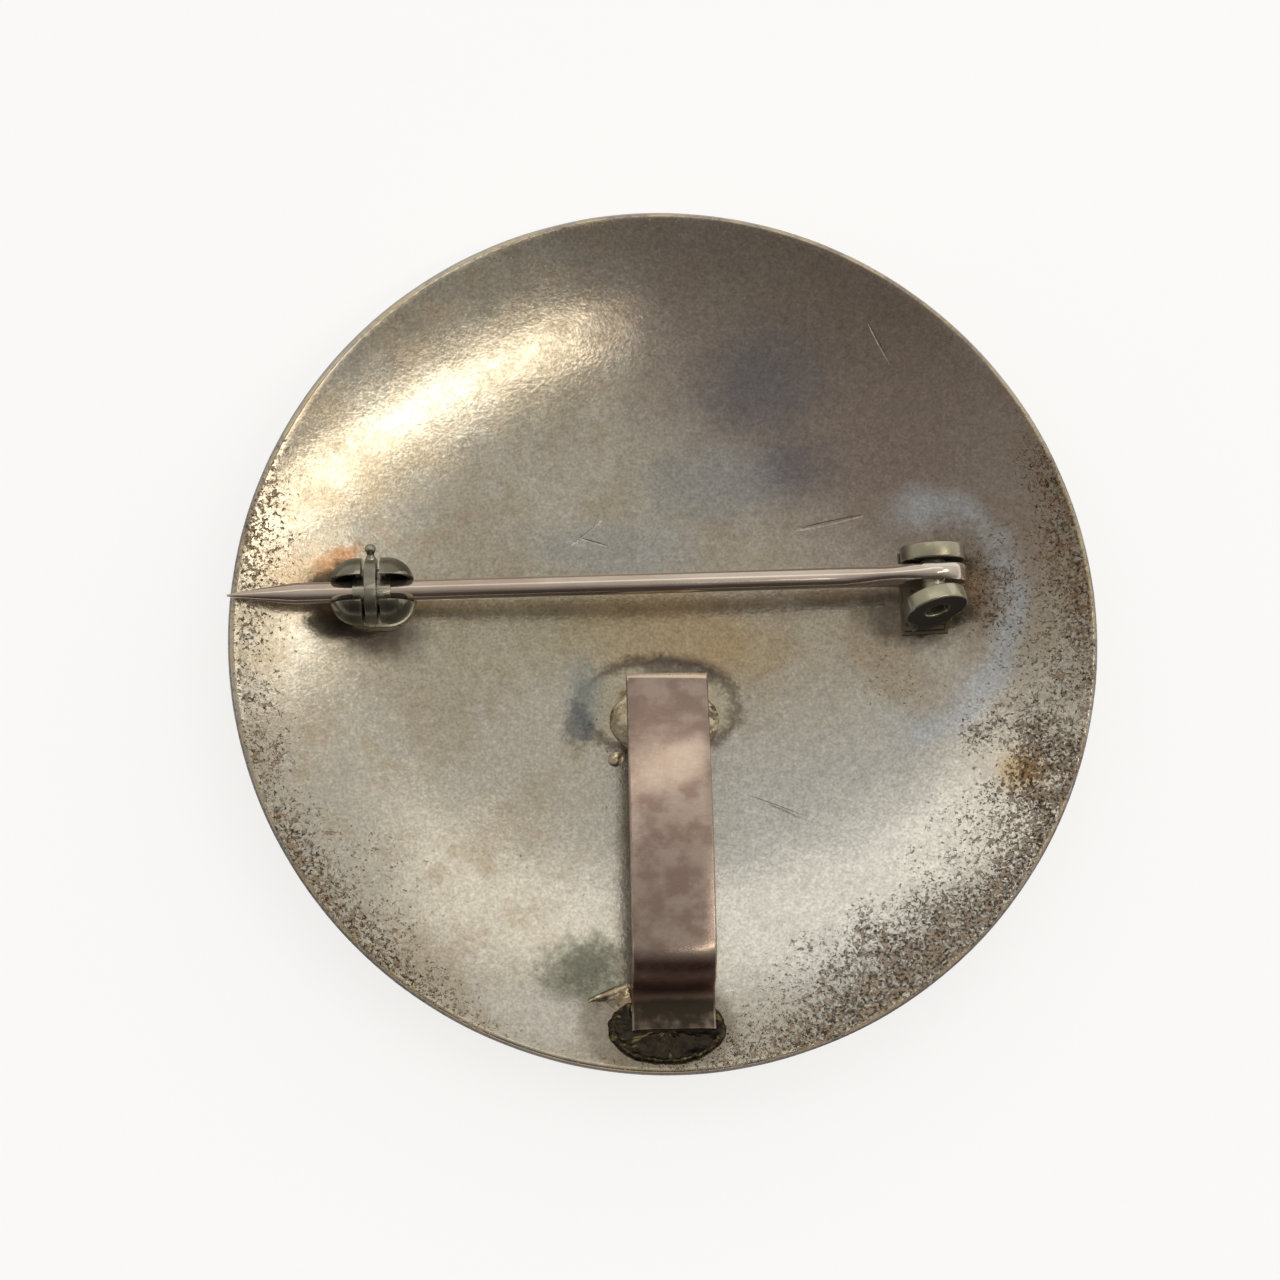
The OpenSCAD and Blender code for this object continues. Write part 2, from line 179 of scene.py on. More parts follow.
def pick_faces(test):
    bpy.ops.mesh.select_mode(type='FACE')
    bpy.ops.mesh.select_all(action='DESELECT')
    mesh = bmesh.from_edit_mesh(bpy.context.object.data)
    for face in mesh.faces:
        face.select_set(test(face.calc_center_median(), face.normal))
    bmesh.update_edit_mesh(bpy.context.object.data)


def pick_points(test):
    bpy.ops.mesh.select_mode(type='VERT')
    bpy.ops.mesh.select_all(action='DESELECT')
    mesh = bmesh.from_edit_mesh(bpy.context.object.data)
    for point in mesh.verts:
        point.select_set(test(point.co))
    mesh.select_flush(True)
    bmesh.update_edit_mesh(bpy.context.object.data)


def push(move):
    bpy.ops.mesh.extrude_region_move(TRANSFORM_OT_translate={"value": tuple(move)})


def stretch(factors, centre):
    bpy.ops.transform.resize(value=tuple(factors), center_override=tuple(centre))


def draw_line(name, points):
    bpy.ops.object.select_all(action='DESELECT')
    bpy.ops.mesh.primitive_plane_add(size=0.1 * mm, location=points[0])
    piece = start(name)
    edit()
    bpy.ops.mesh.merge(type='CENTER')
    for here, there in zip(points, points[1:]):
        push(Vector(there) - Vector(here))
    done()
    return piece


def close_up():
    bpy.ops.mesh.select_all(action='SELECT')
    bpy.ops.mesh.remove_doubles(threshold=weld_distance)
    bpy.ops.mesh.normals_make_consistent(inside=False)


def turn_round(piece, axis, steps):
    only(piece)
    edit()
    bpy.ops.mesh.spin(steps=steps, angle=math.tau, center=(0, 0, 0), axis=axis)
    close_up()
    done()


# %% [markdown]
# ## The camera
# The badge is seen almost from straight above, leaning a little towards its strap, from
# about two and a half badge widths away.

# %% Camera
look_at = Vector((0, 0, 4.85)) * mm
view_tilt = math.radians(8.6)
view_distance = 120 * mm
side_x, side_y = -0.357, -0.934
away = Vector((side_x * math.sin(view_tilt), side_y * math.sin(view_tilt),
               math.cos(view_tilt)))
camera_right = Vector((0, 1, 0)).cross(away).normalized()
camera_up = away.cross(camera_right)
camera_data = bpy.data.cameras.new("camera")
camera_data.sensor_width = 36
camera_data.lens = 58.905
camera_data.shift_x = -0.0213
camera_data.shift_y = -0.0062
camera_data.clip_start = 1 * mm
camera = bpy.data.objects.new("camera", camera_data)
bpy.context.scene.collection.objects.link(camera)
turned = Matrix((camera_right, camera_up, away)).transposed().to_4x4()
camera.matrix_world = Matrix.Translation(look_at + view_distance * away) @ turned
bpy.context.scene.camera = camera
print("camera at", [round(v / mm, 1) for v in camera.location], "mm")

# %% [markdown]
# ## The dish
# The dish is a disc of sheet silver that was spun or pressed into a shallow dome: nearly
# flat in the middle and steeper towards its rim. Two fine turned lines run round its
# front. A turned thing like this is drawn as half of its section and spun round its axis,
# which gives both faces, the thickness and the rounded rim in one go.

# %% The section of the dish
disc_r = (cad_box[1][0] - cad_box[0][0]) / 2
sheet = 0.75 * mm
middle_curve = 90 * mm
edge_start = 12 * mm
rim_slope = math.radians(27)
edge_slope = math.asin(edge_start / middle_curve)
edge_curve = (disc_r - edge_start) / (math.sin(rim_slope) - math.sin(edge_slope))
edge_centre_r = (middle_curve - edge_curve) * math.sin(edge_slope)
edge_centre_z = middle_curve - (middle_curve - edge_curve) * math.cos(edge_slope)
join_r = (middle_curve - sheet) * math.sin(edge_slope)


def hollow(r):
    """Height and slope of the hollow side at a distance from the centre."""
    if r < join_r:
        slope = math.asin(r / (middle_curve - sheet))
        return middle_curve - (middle_curve - sheet) * math.cos(slope), slope
    slope = math.asin((r - edge_centre_r) / (edge_curve - sheet))
    return edge_centre_z - (edge_curve - sheet) * math.cos(slope), slope


def on_dish(x, y):
    return Vector((x, y, hollow(math.hypot(x, y))[0]))


def sheet_point(slope, depth):
    if slope <= edge_slope:
        r = (middle_curve - depth) * math.sin(slope)
        return Vector((r, 0, middle_curve - (middle_curve - depth) * math.cos(slope)))
    r = edge_centre_r + (edge_curve - depth) * math.sin(slope)
    return Vector((r, 0, edge_centre_z - (edge_curve - depth) * math.cos(slope)))


print("the dish is", round(2 * disc_r / mm, 2), "mm across")

# %% The dish, spun from its section
groove_inset, groove_gap = 2.2 * mm, 1.1 * mm
groove_places = [disc_r - groove_inset, disc_r - groove_inset - groove_gap]
groove_tool = 0.35 * mm
groove_depth = 0.15 * mm
rim_round = 0.22 * mm


def groove(slope):
    r = sheet_point(slope, 0).x
    deep = 0
    for place in groove_places:
        reach = groove_tool ** 2 - (r - place) ** 2
        if reach > 0:
            deep = max(deep, math.sqrt(reach) - groove_tool + groove_depth)
    return deep


rim_give = rim_round / edge_curve
outside = [edge_slope * i / 10 for i in range(10)]
outside += [edge_slope + (rim_slope - rim_give - edge_slope) * i / 110 for i in range(111)]
section = [sheet_point(slope, groove(slope)) for slope in outside]
for i in range(1, 6):
    round_angle = math.pi / 2 * i / 6
    section.append(sheet_point(rim_slope - rim_give * (1 - math.sin(round_angle)),
                               rim_round * (1 - math.cos(round_angle))))
for i in range(1, 6):
    round_angle = math.pi / 2 * i / 6
    section.append(sheet_point(rim_slope - rim_give * (1 - math.cos(round_angle)),
                               sheet - rim_round * (1 - math.sin(round_angle))))
inside = [edge_slope + (rim_slope - rim_give - edge_slope) * i / 44 for i in range(44, 0, -1)]
inside += [edge_slope * i / 16 for i in range(16, -1, -1)]
section += [sheet_point(slope, sheet) for slope in inside]
dish = draw_line("dish_shell", section)
turn_round(dish, (0, 0, 1), 240)

# %% [markdown]
# Old sheet is never a perfect curve. A very soft clouds pattern lifts and lowers the
# surface by a few hundredths of a millimetre, so the light moves over it in soft waves.

# %% Soft unevenness of the sheet
waves = bpy.data.textures.new("soft_waves", 'CLOUDS')
waves.noise_scale = 6 * mm
waves.noise_depth = 2
uneven = dish.modifiers.new("uneven", 'DISPLACE')
uneven.texture = waves
uneven.texture_coords = 'LOCAL'
uneven.strength = 0.04 * mm
uneven.mid_level = 1.0
finish_modifier(dish, uneven)
hand_in(dish, "badge", "dish_silver", "badge_dish", smooth=35)

# %% [markdown]
# ## The strap
# The strap is a flat band of the same silver, bent up from its soldered foot, over a
# tight shoulder, and on in a long low arch to its free end, which a small post holds up.
# It starts here as a flat face at the foot, which is extruded and spun round the centre
# of each bend, as the real band was bent. Its upper side is a little crowned, and the
# upper edge of its free end is rounded off.

# %% The way of the strap
band_w = 4.7 * mm
band_t = 0.6 * mm
strap_turn = math.radians(1.1)
strap_shift = -0.03 * mm
solder_layer = 0.12 * mm
foot_len = 1.6 * mm
foot_inset = 2.4 * mm
foot_r = disc_r - foot_inset
foot_bend = 0.8 * mm
shoulder_bend = 2.3 * mm
leg_angle = math.radians(75)
arch_curve = 44 * mm
arch_angle = math.radians(20.5)

foot_mid_r = foot_r - foot_len * math.cos(hollow(foot_r)[1]) / 2
foot_z, foot_slope = hollow(foot_mid_r)
# u runs from the centre of the dish towards the strap's foot, and the second value is up
along_foot = Vector((math.cos(foot_slope), math.sin(foot_slope)))
over_foot = Vector((-math.sin(foot_slope), math.cos(foot_slope)))
foot_centre = Vector((foot_mid_r, foot_z)) + over_foot * (band_t / 2 + solder_layer)
foot_inner = foot_centre - along_foot * foot_len / 2
foot_outer = foot_centre + along_foot * foot_len / 2
foot_bend_at = foot_inner + over_foot * foot_bend
leg_way = Vector((math.sin(leg_angle), math.cos(leg_angle)))
shoulder_at = foot_bend_at - leg_way * (foot_bend + shoulder_bend)
arch_at = shoulder_at - Vector((0, arch_curve - shoulder_bend))


def upright(point):
    return Vector((0, -point[0], point[1]))


print("the strap's shoulder is", round((shoulder_at[1] + shoulder_bend) / mm, 2), "mm up")

# %% The strap, bent from a flat face
corner = 0.14 * mm
crown = 0.13 * mm
half_w = band_w / 2
half_t = band_t / 2
outline = []
for side_w, side_t, first in ((1, 1, 0), (-1, 1, 90), (-1, -1, 180), (1, -1, 270)):
    for i in range(5):
        around = math.radians(first + 90 * i / 4)
        outline.append((side_w * (half_w - corner) + corner * math.cos(around),
                        side_t * (half_t - crown * (side_t > 0) - corner)
                        + corner * math.sin(around)))
    if first == 0:
        for i in range(1, 14):
            across = half_w - corner - (band_w - 2 * corner) * i / 14
            outline.append((across, half_t - crown * abs(across / half_w) ** 3.5))
foot_edge = upright(foot_outer)
over = upright(over_foot)
foot_end = [foot_edge + Vector((x, 0, 0)) + over * h for x, h in outline]
strap = draw_line("strap_band", foot_end + foot_end[:1])
edit()
bpy.ops.mesh.remove_doubles(threshold=weld_distance)
bpy.ops.mesh.edge_face_add()
push(upright(along_foot) * -foot_len)
done()


def bend(angle, centre, towards, steps):
    bpy.ops.mesh.spin(steps=steps, angle=angle, center=tuple(upright(centre)),
                      axis=(towards, 0, 0))


edit()
bpy.ops.mesh.select_all(action='DESELECT')
inner_edge = upright(foot_inner)
pick_faces(lambda at, facing: (at - inner_edge).length < 0.2 * mm)
bend(foot_slope + leg_angle, foot_bend_at, -1, 12)
bend(leg_angle, shoulder_at, 1, 16)
bend(arch_angle, arch_at, 1, 28)
close_up()
end_rounding = 0.26 * mm
points = [v.co.copy() for v in bmesh.from_edit_mesh(strap.data).verts]
end_y = max(co.y for co in points)
end_top = max(co.z for co in points if co.y > end_y - half_t)
pick_points(lambda co: co.y > end_y - 0.06 * mm and co.z > end_top - 0.16 * mm
            and abs(co.x) < half_w)
bpy.ops.mesh.bevel(offset=end_rounding, segments=4, affect='EDGES')
print("the strap's free end is at", round(end_y / mm, 2), "mm")
done()
soften(strap, 0.12 * mm, 3, 60)
strap_place = Matrix.Rotation(strap_turn, 3, 'Z') @ Vector((strap_shift, 0, 0))
set_down(strap, strap_place, strap_turn)
hand_in(strap, "badge", "strap_silver", "strap", smooth=35)

# %% [markdown]
# ## Solder at the strap's free end
# Under the free end stands the post, and round its foot lies a bead of silver solder. When
# solder flows it climbs the post in a hollow curve and leaves a lumpy edge. The bead
# starts as a low round drum, its top is drawn in and lifted in steps, and a clouds
# pattern then makes it lumpy.

# %% The bead round the post
lumps = bpy.data.textures.new("solder_lumps", 'CLOUDS')
lumps.noise_scale = 0.9 * mm
lumps.noise_depth = 2
finer_lumps = bpy.data.textures.new("solder_ripples", 'CLOUDS')
finer_lumps.noise_scale = 0.45 * mm
finer_lumps.noise_depth = 3


def make_lumpy(piece, strength, texture=lumps):
    rough = piece.modifiers.new("lumpy", 'DISPLACE')
    rough.texture = texture
    rough.texture_coords = 'LOCAL'
    rough.strength = strength
    finish_modifier(piece, rough)


def refine(piece, levels):
    finer = piece.modifiers.new("finer", 'SUBSURF')
    finer.levels = levels
    finer.render_levels = levels
    finish_modifier(piece, finer)


post_back = 2.5 * mm
post_u = arch_at[0] - arch_curve * math.sin(arch_angle) + post_back
post_z = hollow(abs(post_u))[0]
bead_long, bead_wide = 3.3 * mm, 2.2 * mm
post_long, post_wide = 2.1 * mm, 1.0 * mm
bead = cylinder("post_bead", 56, 1, 0.4 * mm, at=(0, 0, post_z - 0.13 * mm),
                factors=(bead_long, bead_wide, 1))
edit()
pick_faces(lambda at, facing: facing.z > 0.9)
for share, lift in ((0.93, 0.14), (0.82, 0.12), (0.7, 0.14), (0.56, 0.2), (0.44, 0.3)):
    push((0, 0, lift * mm))
    now = [v.co for v in bmesh.from_edit_mesh(bead.data).verts if v.select]
    wide_x, wide_y = max(co.x for co in now), max(co.y for co in now)
    stretch(((post_long + (bead_long - post_long) * (share - 0.4) / 0.6) / wide_x,
             (post_wide + (bead_wide - post_wide) * (share - 0.4) / 0.6) / wide_y, 1),
            (0, 0, 0))
done()
refine(bead, 2)
make_lumpy(bead, 0.16 * mm)
set_down(bead, strap_place - Matrix.Rotation(strap_turn, 3, 'Z') @ Vector((0, post_u, 0)),
         strap_turn)
hand_in(bead, "badge", "solder", "solder_post", smooth=60)

# %% [markdown]
# ## Solder at the strap's foot
# The foot sits in a pool of solder with a raised, uneven edge. The pool is a low drum whose
# rim is lifted and whose top is sunk.

# %% The pool
pool_inset = 2.6 * mm
pool_at = disc_r - pool_inset
pool_shift = -0.4 * mm
pool_z, pool_slope = hollow(pool_at)
pool_long, pool_wide = 3.35 * mm, 2.1 * mm
pool = cylinder("foot_pool", 72, 1, 0.5 * mm, at=(0, 0, -0.1 * mm),
                factors=(pool_long, pool_wide, 1))
edit()
pick_faces(lambda at, facing: facing.z > 0.9)
for shrink, lift in ((0.95, 0.16), (0.95, 0.04), (0.94, -0.08), (0.85, -0.05), (0.7, 0.02),
                     (0.6, 0.0), (0.5, 0.0)):
    push((0, 0, lift * mm))
    stretch((shrink, shrink, 1), (0, 0, 0))
done()
refine(pool, 2)
make_lumpy(pool, 0.24 * mm, finer_lumps)
pool_place = Matrix.Rotation(strap_turn, 3, 'Z') @ Vector((strap_shift + pool_shift, -pool_at, 0))
set_down(pool, pool_place + Vector((0, 0, pool_z)), strap_turn, -pool_slope)
hand_in(pool, "badge", "solder", "solder_foot", smooth=60)

# %% [markdown]
# To the left of the foot the solder has drawn out into a thin bright ridge. It is drawn
# out of a small block in steps, each one thinner than the last, with a short web that
# runs down into the pool.

# %% The drawn-out ridge of solder
ridge_turn = math.radians(22.6)
ridge_way = Vector((math.cos(ridge_turn), math.sin(ridge_turn), 0))
ridge_side = Vector((math.sin(ridge_turn), -math.cos(ridge_turn), 0))
ridge_at = on_dish(-3.1 * mm, -20.35 * mm) + Vector((0, 0, 0.16 * mm))
bpy.ops.object.select_all(action='DESELECT')
bpy.ops.mesh.primitive_cube_add(size=1, location=ridge_at, rotation=(0, 0, ridge_turn))
bpy.context.object.scale = (1.3 * mm, 0.4 * mm, 0.66 * mm)
ridge = start("foot_ridge")


def draw_out(test, moves):
    pick_faces(test)
    for along, sideways, up, size in moves:
        push((ridge_way * along + ridge_side * sideways + Vector((0, 0, up))) * mm)
        points = [v.co for v in bmesh.from_edit_mesh(ridge.data).verts if v.select]
        stretch((size, size, size), sum(points, Vector()) / len(points))


edit()
draw_out(lambda at, facing: facing.dot(ridge_way) > 0.9, ((0.5, 0, 0.06, 0.9),))
draw_out(lambda at, facing: facing.dot(ridge_way) < -0.9,
         ((-0.5, 0, 0, 0.75), (-0.55, 0.06, -0.04, 0.7), (-0.4, 0.05, -0.05, 0.5)))
draw_out(lambda at, facing: facing.dot(ridge_side) > 0.9
         and (at - ridge_at).dot(ridge_way) > -0.5 * mm,
         ((0, 0.3, -0.02, 0.85), (0.1, 0.7, 0.1, 0.85), (0.25, 0.7, 0.25, 0.7)))
done()
refine(ridge, 3)
make_lumpy(ridge, 0.14 * mm, finer_lumps)
hand_in(ridge, "badge", "solder", "solder_foot", smooth=60)

# %% [markdown]
# One drop of solder fell beside the bead and set where it lay, as a flat round bump.

# %% A loose drop of solder
drop_from_centre, drop_r = 7.54 * mm, 0.46 * mm
drop_turn = math.radians(-111.8)
drop_at = Matrix.Rotation(drop_turn, 3, 'Z') @ Vector((drop_from_centre, 0, 0))
bpy.ops.object.select_all(action='DESELECT')
bpy.ops.mesh.primitive_ico_sphere_add(subdivisions=4, radius=drop_r)
drop = start("solder_drop")
edit()
stretch((1.05, 0.9, 0.42), (0, 0, 0))
done()
make_lumpy(drop, 0.1 * mm)
set_down(drop, on_dish(drop_at.x, drop_at.y), 0.5)
hand_in(drop, "badge", "solder", "solder_drops", smooth=60)

# %% [markdown]
# ## The safety catch
# The catch is a small barrel of two hollow halves with a groove between them. A slot along
# its top lets the pin drop in. In the groove turns a ring with a short lever, and its tube
# closes over the pin. Each half is turned on a lathe, so it is spun from half a section,
# and the slot is then milled with a cutter that has a round bottom.

# %% One half of the barrel, and its mirror image
barrel_r, barrel_half = 1.9 * mm, 2.37 * mm
groove_half = 0.52 * mm
wall = 0.34 * mm
slot_r = 0.725 * mm
web_bore = 0.85 * mm
nose_round = 1.5 * mm


def barrel_curve(r, half, nose, first):
    points = [Vector((first, 0, r))]
    for i in range(11):
        around = math.pi / 2 * i / 10
        points.append(Vector((half - nose + nose * math.sin(around), 0,
                              r - nose + nose * math.cos(around))))
    return points


outer = barrel_curve(barrel_r, barrel_half, nose_round, groove_half)
inner = barrel_curve(barrel_r - wall, barrel_half - wall, nose_round - wall,
                     groove_half + 0.3 * mm)
nose_hole = 0.42 * mm
section = outer[:-1] + [Vector((barrel_half - 0.02 * mm, 0, nose_hole)),
                        Vector((barrel_half - wall, 0, nose_hole))]
section += [point for point in reversed(inner) if point.z > nose_hole + 0.02 * mm]
section += [Vector((groove_half + 0.3 * mm, 0, web_bore)), Vector((groove_half, 0, web_bore))]
section.append(section[0])
half_barrel = draw_line("catch_half_right", section)
turn_round(half_barrel, (1, 0, 0), 72)
miller = cylinder("miller", 48, slot_r, 3 * mm, at=(1.7 * mm, 0, 0), turn=along_x)
edit()
pick_faces(lambda at, facing: facing.z > 0.05 and abs(facing.x) < 0.5)
push((0, 0, 4 * mm))
done()
cut(half_barrel, miller)
soften(half_barrel, 0.06 * mm, 3, 40)
only(half_barrel)
bpy.ops.object.duplicate()
other_half = bpy.context.object
other_half.name = other_half.data.name = "catch_half_left"
other_half.scale = (-1, 1, 1)
bpy.ops.object.transform_apply(location=True, rotation=True, scale=True)
edit()
close_up()
done()
for half, node in ((half_barrel, "catch_shell_right"), (other_half, "catch_shell_left")):
    set_down(half, catch_spot, pin_turn)
    hand_in(half, "badge", "catch_metal", node, smooth=40)

# %% [markdown]
# The roller is a short tube with a broad ring round its middle. Both have the same side
# opening, which faces down now and comes to the top when the lever is turned. A drum is
# bored and then cut open, and its edges are softened as a file would do.

# %% The roller's tube and ring
wire_r = 0.6 * mm
pin_room = 0.05 * mm
roller_r = wire_r + pin_room + 0.15 * mm
tube_w = 2.1 * mm
ring_r, ring_w = 1.88 * mm, 0.64 * mm
open_angle = math.radians(90 - 125)  # the opening faces up once the lever has turned 125


def bored(name, radius, length, bore):
    piece = cylinder(name, 72, radius, length, turn=along_x)
    edit()
    pick_faces(lambda at, facing: abs(facing.x) > 0.9)
    bpy.ops.mesh.inset(thickness=radius - bore)
    bpy.ops.mesh.bridge_edge_loops()
    done()
    gap = wire_r + pin_room
    bpy.ops.mesh.primitive_cube_add(size=1, location=(0, 2 * mm, 0))
    bpy.context.object.scale = (4 * mm, 4 * mm, 2 * gap)
    opener = start("opener")
    set_down(opener, Vector(), 0, open_angle)
    cut(piece, opener)
    return piece


tube = bored("roller_sleeve", roller_r, tube_w, wire_r + pin_room)
soften(tube, 0.04 * mm, 2, 40)
ring = bored("roller_wheel", ring_r, ring_w, roller_r)
soften(ring, 0.09 * mm, 3, 40)
for piece, node in ((tube, "roller_tube"), (ring, "roller_ring")):
    set_down(piece, catch_spot, pin_turn)
    hand_in(piece, "roller", "catch_metal", node)

# %% [markdown]
# The lever is a small stalk with a round knob for the fingertip. It starts as a thin rod
# that is drawn out ring by ring, thin at the neck and full at the knob, as it would be
# turned or cast.

# %% The lever
lever_angle = math.radians(20)
lever = cylinder("roller_knob", 20, 0.3 * mm, 0.3 * mm, at=(0, 1.75 * mm, 0), turn=along_y)
edit()
pick_faces(lambda at, facing: facing.y > 0.9)
at_y, now_r = 1.9 * mm, 0.3 * mm
for y, r in ((2.0, 0.24), (2.1, 0.21), (2.2, 0.23), (2.3, 0.29), (2.4, 0.33), (2.5, 0.33),
             (2.6, 0.27), (2.67, 0.17), (2.7, 0.05)):
    push((0, y * mm - at_y, 0))
    stretch((r * mm / now_r, 1, r * mm / now_r), (0, 0, 0))
    at_y, now_r = y * mm, r * mm
done()
refine(lever, 1)
set_down(lever, Vector(), 0, lever_angle)
set_down(lever, catch_spot, pin_turn)
hand_in(lever, "roller", "catch_metal", "roller_lever", smooth=60)

# %% [markdown]
# ## The hinge
# Two round ears stand on a small plate and carry the rivet that the pin turns on. The
# lower ear is bent over and twisted on its stem, as it was when the rivet was set. An ear
# starts as a thick round disc, the rivet hole is made by insets and a bridge, an upright
# stem is drawn down out of its lower side, and the edges are rounded off as if tumbled.

# %% The two ears
ear_r, ear_t = 1.85 * mm, 0.88 * mm
rivet_r = 0.675 * mm
eye_t = 0.95 * mm
ear_gap, lean_gap = 0.3 * mm, 0.14 * mm
ear_lean, ear_twist = math.radians(16), math.radians(12)
stem_half_w, stem_step = 1.05 * mm, 0.15 * mm
edge_ring = 0.16 * mm
upper_y = eye_t / 2 + ear_gap + ear_t / 2
lean_reach = ear_r * math.sqrt(math.sin(ear_lean) ** 2 + math.sin(ear_twist) ** 2)
lower_y = -(eye_t / 2 + lean_gap + ear_t / 2 + lean_reach)


def make_ear(name, y, tilt, turn, depth):
    ear = cylinder(name, 80, ear_r, ear_t, turn=along_y)
    edit()
    pick_faces(lambda at, facing: abs(facing.y) > 0.9)
    for thickness in (edge_ring, ear_r - rivet_r - 2 * edge_ring, edge_ring):
        bpy.ops.mesh.inset(thickness=thickness)
    bpy.ops.mesh.bridge_edge_loops()
    pick_faces(lambda at, facing: abs(facing.y) < 0.5 and at.z < 0
               and abs(at.x) < stem_half_w and at.length > 0.8 * ear_r)
    push((0, 0, -stem_step))
    stretch((1, 1, 0), (0, 0, -ear_r - stem_step))
    below = depth - stem_step
    push((0, -math.sin(tilt) * below, -math.cos(tilt) * below))
    done()
    soften(ear, 0.1 * mm, 3, 40)
    set_down(ear, Vector((0, y, 0)), turn, tilt)
    set_down(ear, hinge_spot, pin_turn)
    return ear


foot_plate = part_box("hinge_base")
plate_z = (foot_plate[0][2] + foot_plate[1][2]) / 2
upper_ear = make_ear("ear_upper", upper_y, 0, 0, hinge_spot.z - ear_r - plate_z)
lower_ear = make_ear("ear_lower", lower_y, -ear_lean, ear_twist,
                     hinge_spot.z - ear_r * math.cos(ear_lean) - plate_z)
hand_in(upper_ear, "badge", "hinge_metal", "hinge_ear_upper")
hand_in(lower_ear, "badge", "hinge_metal", "hinge_ear_lower")

# %% [markdown]
# The rivet is a short rod whose ends were spread with a punch, which leaves a shallow
# dimple in each.

# %% The rivet
rivet_recess = 0.45 * mm
rivet_from = lower_y - ear_t / 2 + rivet_recess
rivet_to = upper_y + ear_t / 2 - 0.03 * mm
rivet = cylinder("hinge_pin_rivet", 48, rivet_r - 0.01 * mm, rivet_to - rivet_from,
                 at=(0, (rivet_from + rivet_to) / 2, 0), turn=along_y)
edit()
for side in (1, -1):
    pick_faces(lambda at, facing: facing.y * side > 0.9)
    bpy.ops.mesh.inset(thickness=0.12 * mm)
    bpy.ops.mesh.inset(thickness=0.14 * mm)
    bpy.ops.transform.translate(value=(0, -side * 0.1 * mm, 0))
    bpy.ops.mesh.inset(thickness=0.15 * mm)
    bpy.ops.transform.translate(value=(0, -side * 0.05 * mm, 0))
done()
soften(rivet, 0.05 * mm, 2, 50)
set_down(rivet, hinge_spot, pin_turn)
hand_in(rivet, "badge", "hinge_metal", "hinge_rivet")

# %% [markdown]
# ## The pin
# The pin is drawn wire, ground to a point at one end and hammered flat into a drilled eye
# at the other. It is drawn out of a tiny disc at its point, ring by ring. Each ring has
# its own height and thickness, so the round wire grows smoothly into the flat eye.

# %% The rings of the pin
eye_r = 1.85 * mm
pin_offset = 2.69 * mm
pin_half_chord = math.sqrt(disc_r ** 2 - pin_offset ** 2)
hinge_inset, tip_inset = 9.5 * mm, 0.06 * mm
tip_x = -(2 * pin_half_chord - hinge_inset - tip_inset)
tip_r = 0.06 * mm
thickest_eye = 1.1 * mm
rings = []
taper = 3.8 * mm
for i in range(1, 15):
    share = i / 14
    taper_r = tip_r + (wire_r - tip_r) * share ** 0.85
    rings.append((tip_x + taper * share, taper_r, taper_r))
neck_len = 3.4 * mm
neck_from = -eye_r - neck_len
touch = math.acos((eye_r - 0.7 * wire_r) / (eye_r + neck_len))
neck_to = -eye_r * math.cos(touch)
for i in range(1, 40):
    rings.append((tip_x + taper + (neck_from - tip_x - taper) * i / 39, wire_r, wire_r))
for i in range(1, 19):
    share = i / 18
    ease = max(0, (share - 0.5) / 0.5) ** 2
    rings.append((neck_from + (neck_to - neck_from) * share, wire_r + (thickest_eye - wire_r) * ease,
                  wire_r + (eye_r * math.sin(touch) - wire_r) * share ** 1.15))
for i in range(1, 25):
    around = (math.pi - touch) * (1 - i / 24)
    rings.append((eye_r * math.cos(around), thickest_eye,
                  max(eye_r * math.sin(around), 0.12 * mm)))
pin = cylinder("pin_wire", 40, tip_r, 0.02 * mm, at=(tip_x + 0.01 * mm, 0, 0), turn=along_x)
edit()
pick_faces(lambda at, facing: facing.x > 0.9)
x_now, thick_now, high_now = tip_x + 0.02 * mm, tip_r, tip_r
for x, thick, high in rings:
    push((x - x_now, 0, 0))
    stretch((1, thick / thick_now, high / high_now), (0, 0, 0))
    x_now, thick_now, high_now = x, thick, high
done()

# %% [markdown]
# The hammered eye has two flat faces. All points that stand out beyond its thickness are
# pressed flat, more and more along the last third of the neck, and the hole is then
# drilled.

# %% Flatten and drill the eye
edit()
steps = 16
press_from = 0.68
for i in range(steps):
    share = i / (steps - 1)
    first = neck_from + (neck_to - neck_from) * i / steps
    last = neck_from + (neck_to - neck_from) * (i + 1) / steps if i < steps - 1 else disc_r
    pressed = max(0, (share - press_from) / (1 - press_from))
    limit = wire_r - (wire_r - eye_t / 2) * pressed * pressed * (3 - 2 * pressed)
    for side in (1, -1):
        pick_points(lambda co: first < co.x <= last and co.y * side > limit)
        if any(v.select for v in bmesh.from_edit_mesh(pin.data).verts):
            stretch((1, 0, 1), (0, side * limit, 0))
done()
cut(pin, cylinder("drill", 48, rivet_r + pin_room, 4 * mm, turn=along_y))
soften(pin, 0.1 * mm, 3, 38)
set_down(pin, hinge_spot, pin_turn)
hand_in(pin, "pin", "pin_wire", "pin_stem")

# %% [markdown]
# ## The floor
# The badge lies on a plain pale floor.

# %% Floor
bpy.ops.object.select_all(action='DESELECT')
bpy.ops.mesh.primitive_plane_add(size=4, location=(0, 0, 0))
floor = start("floor")
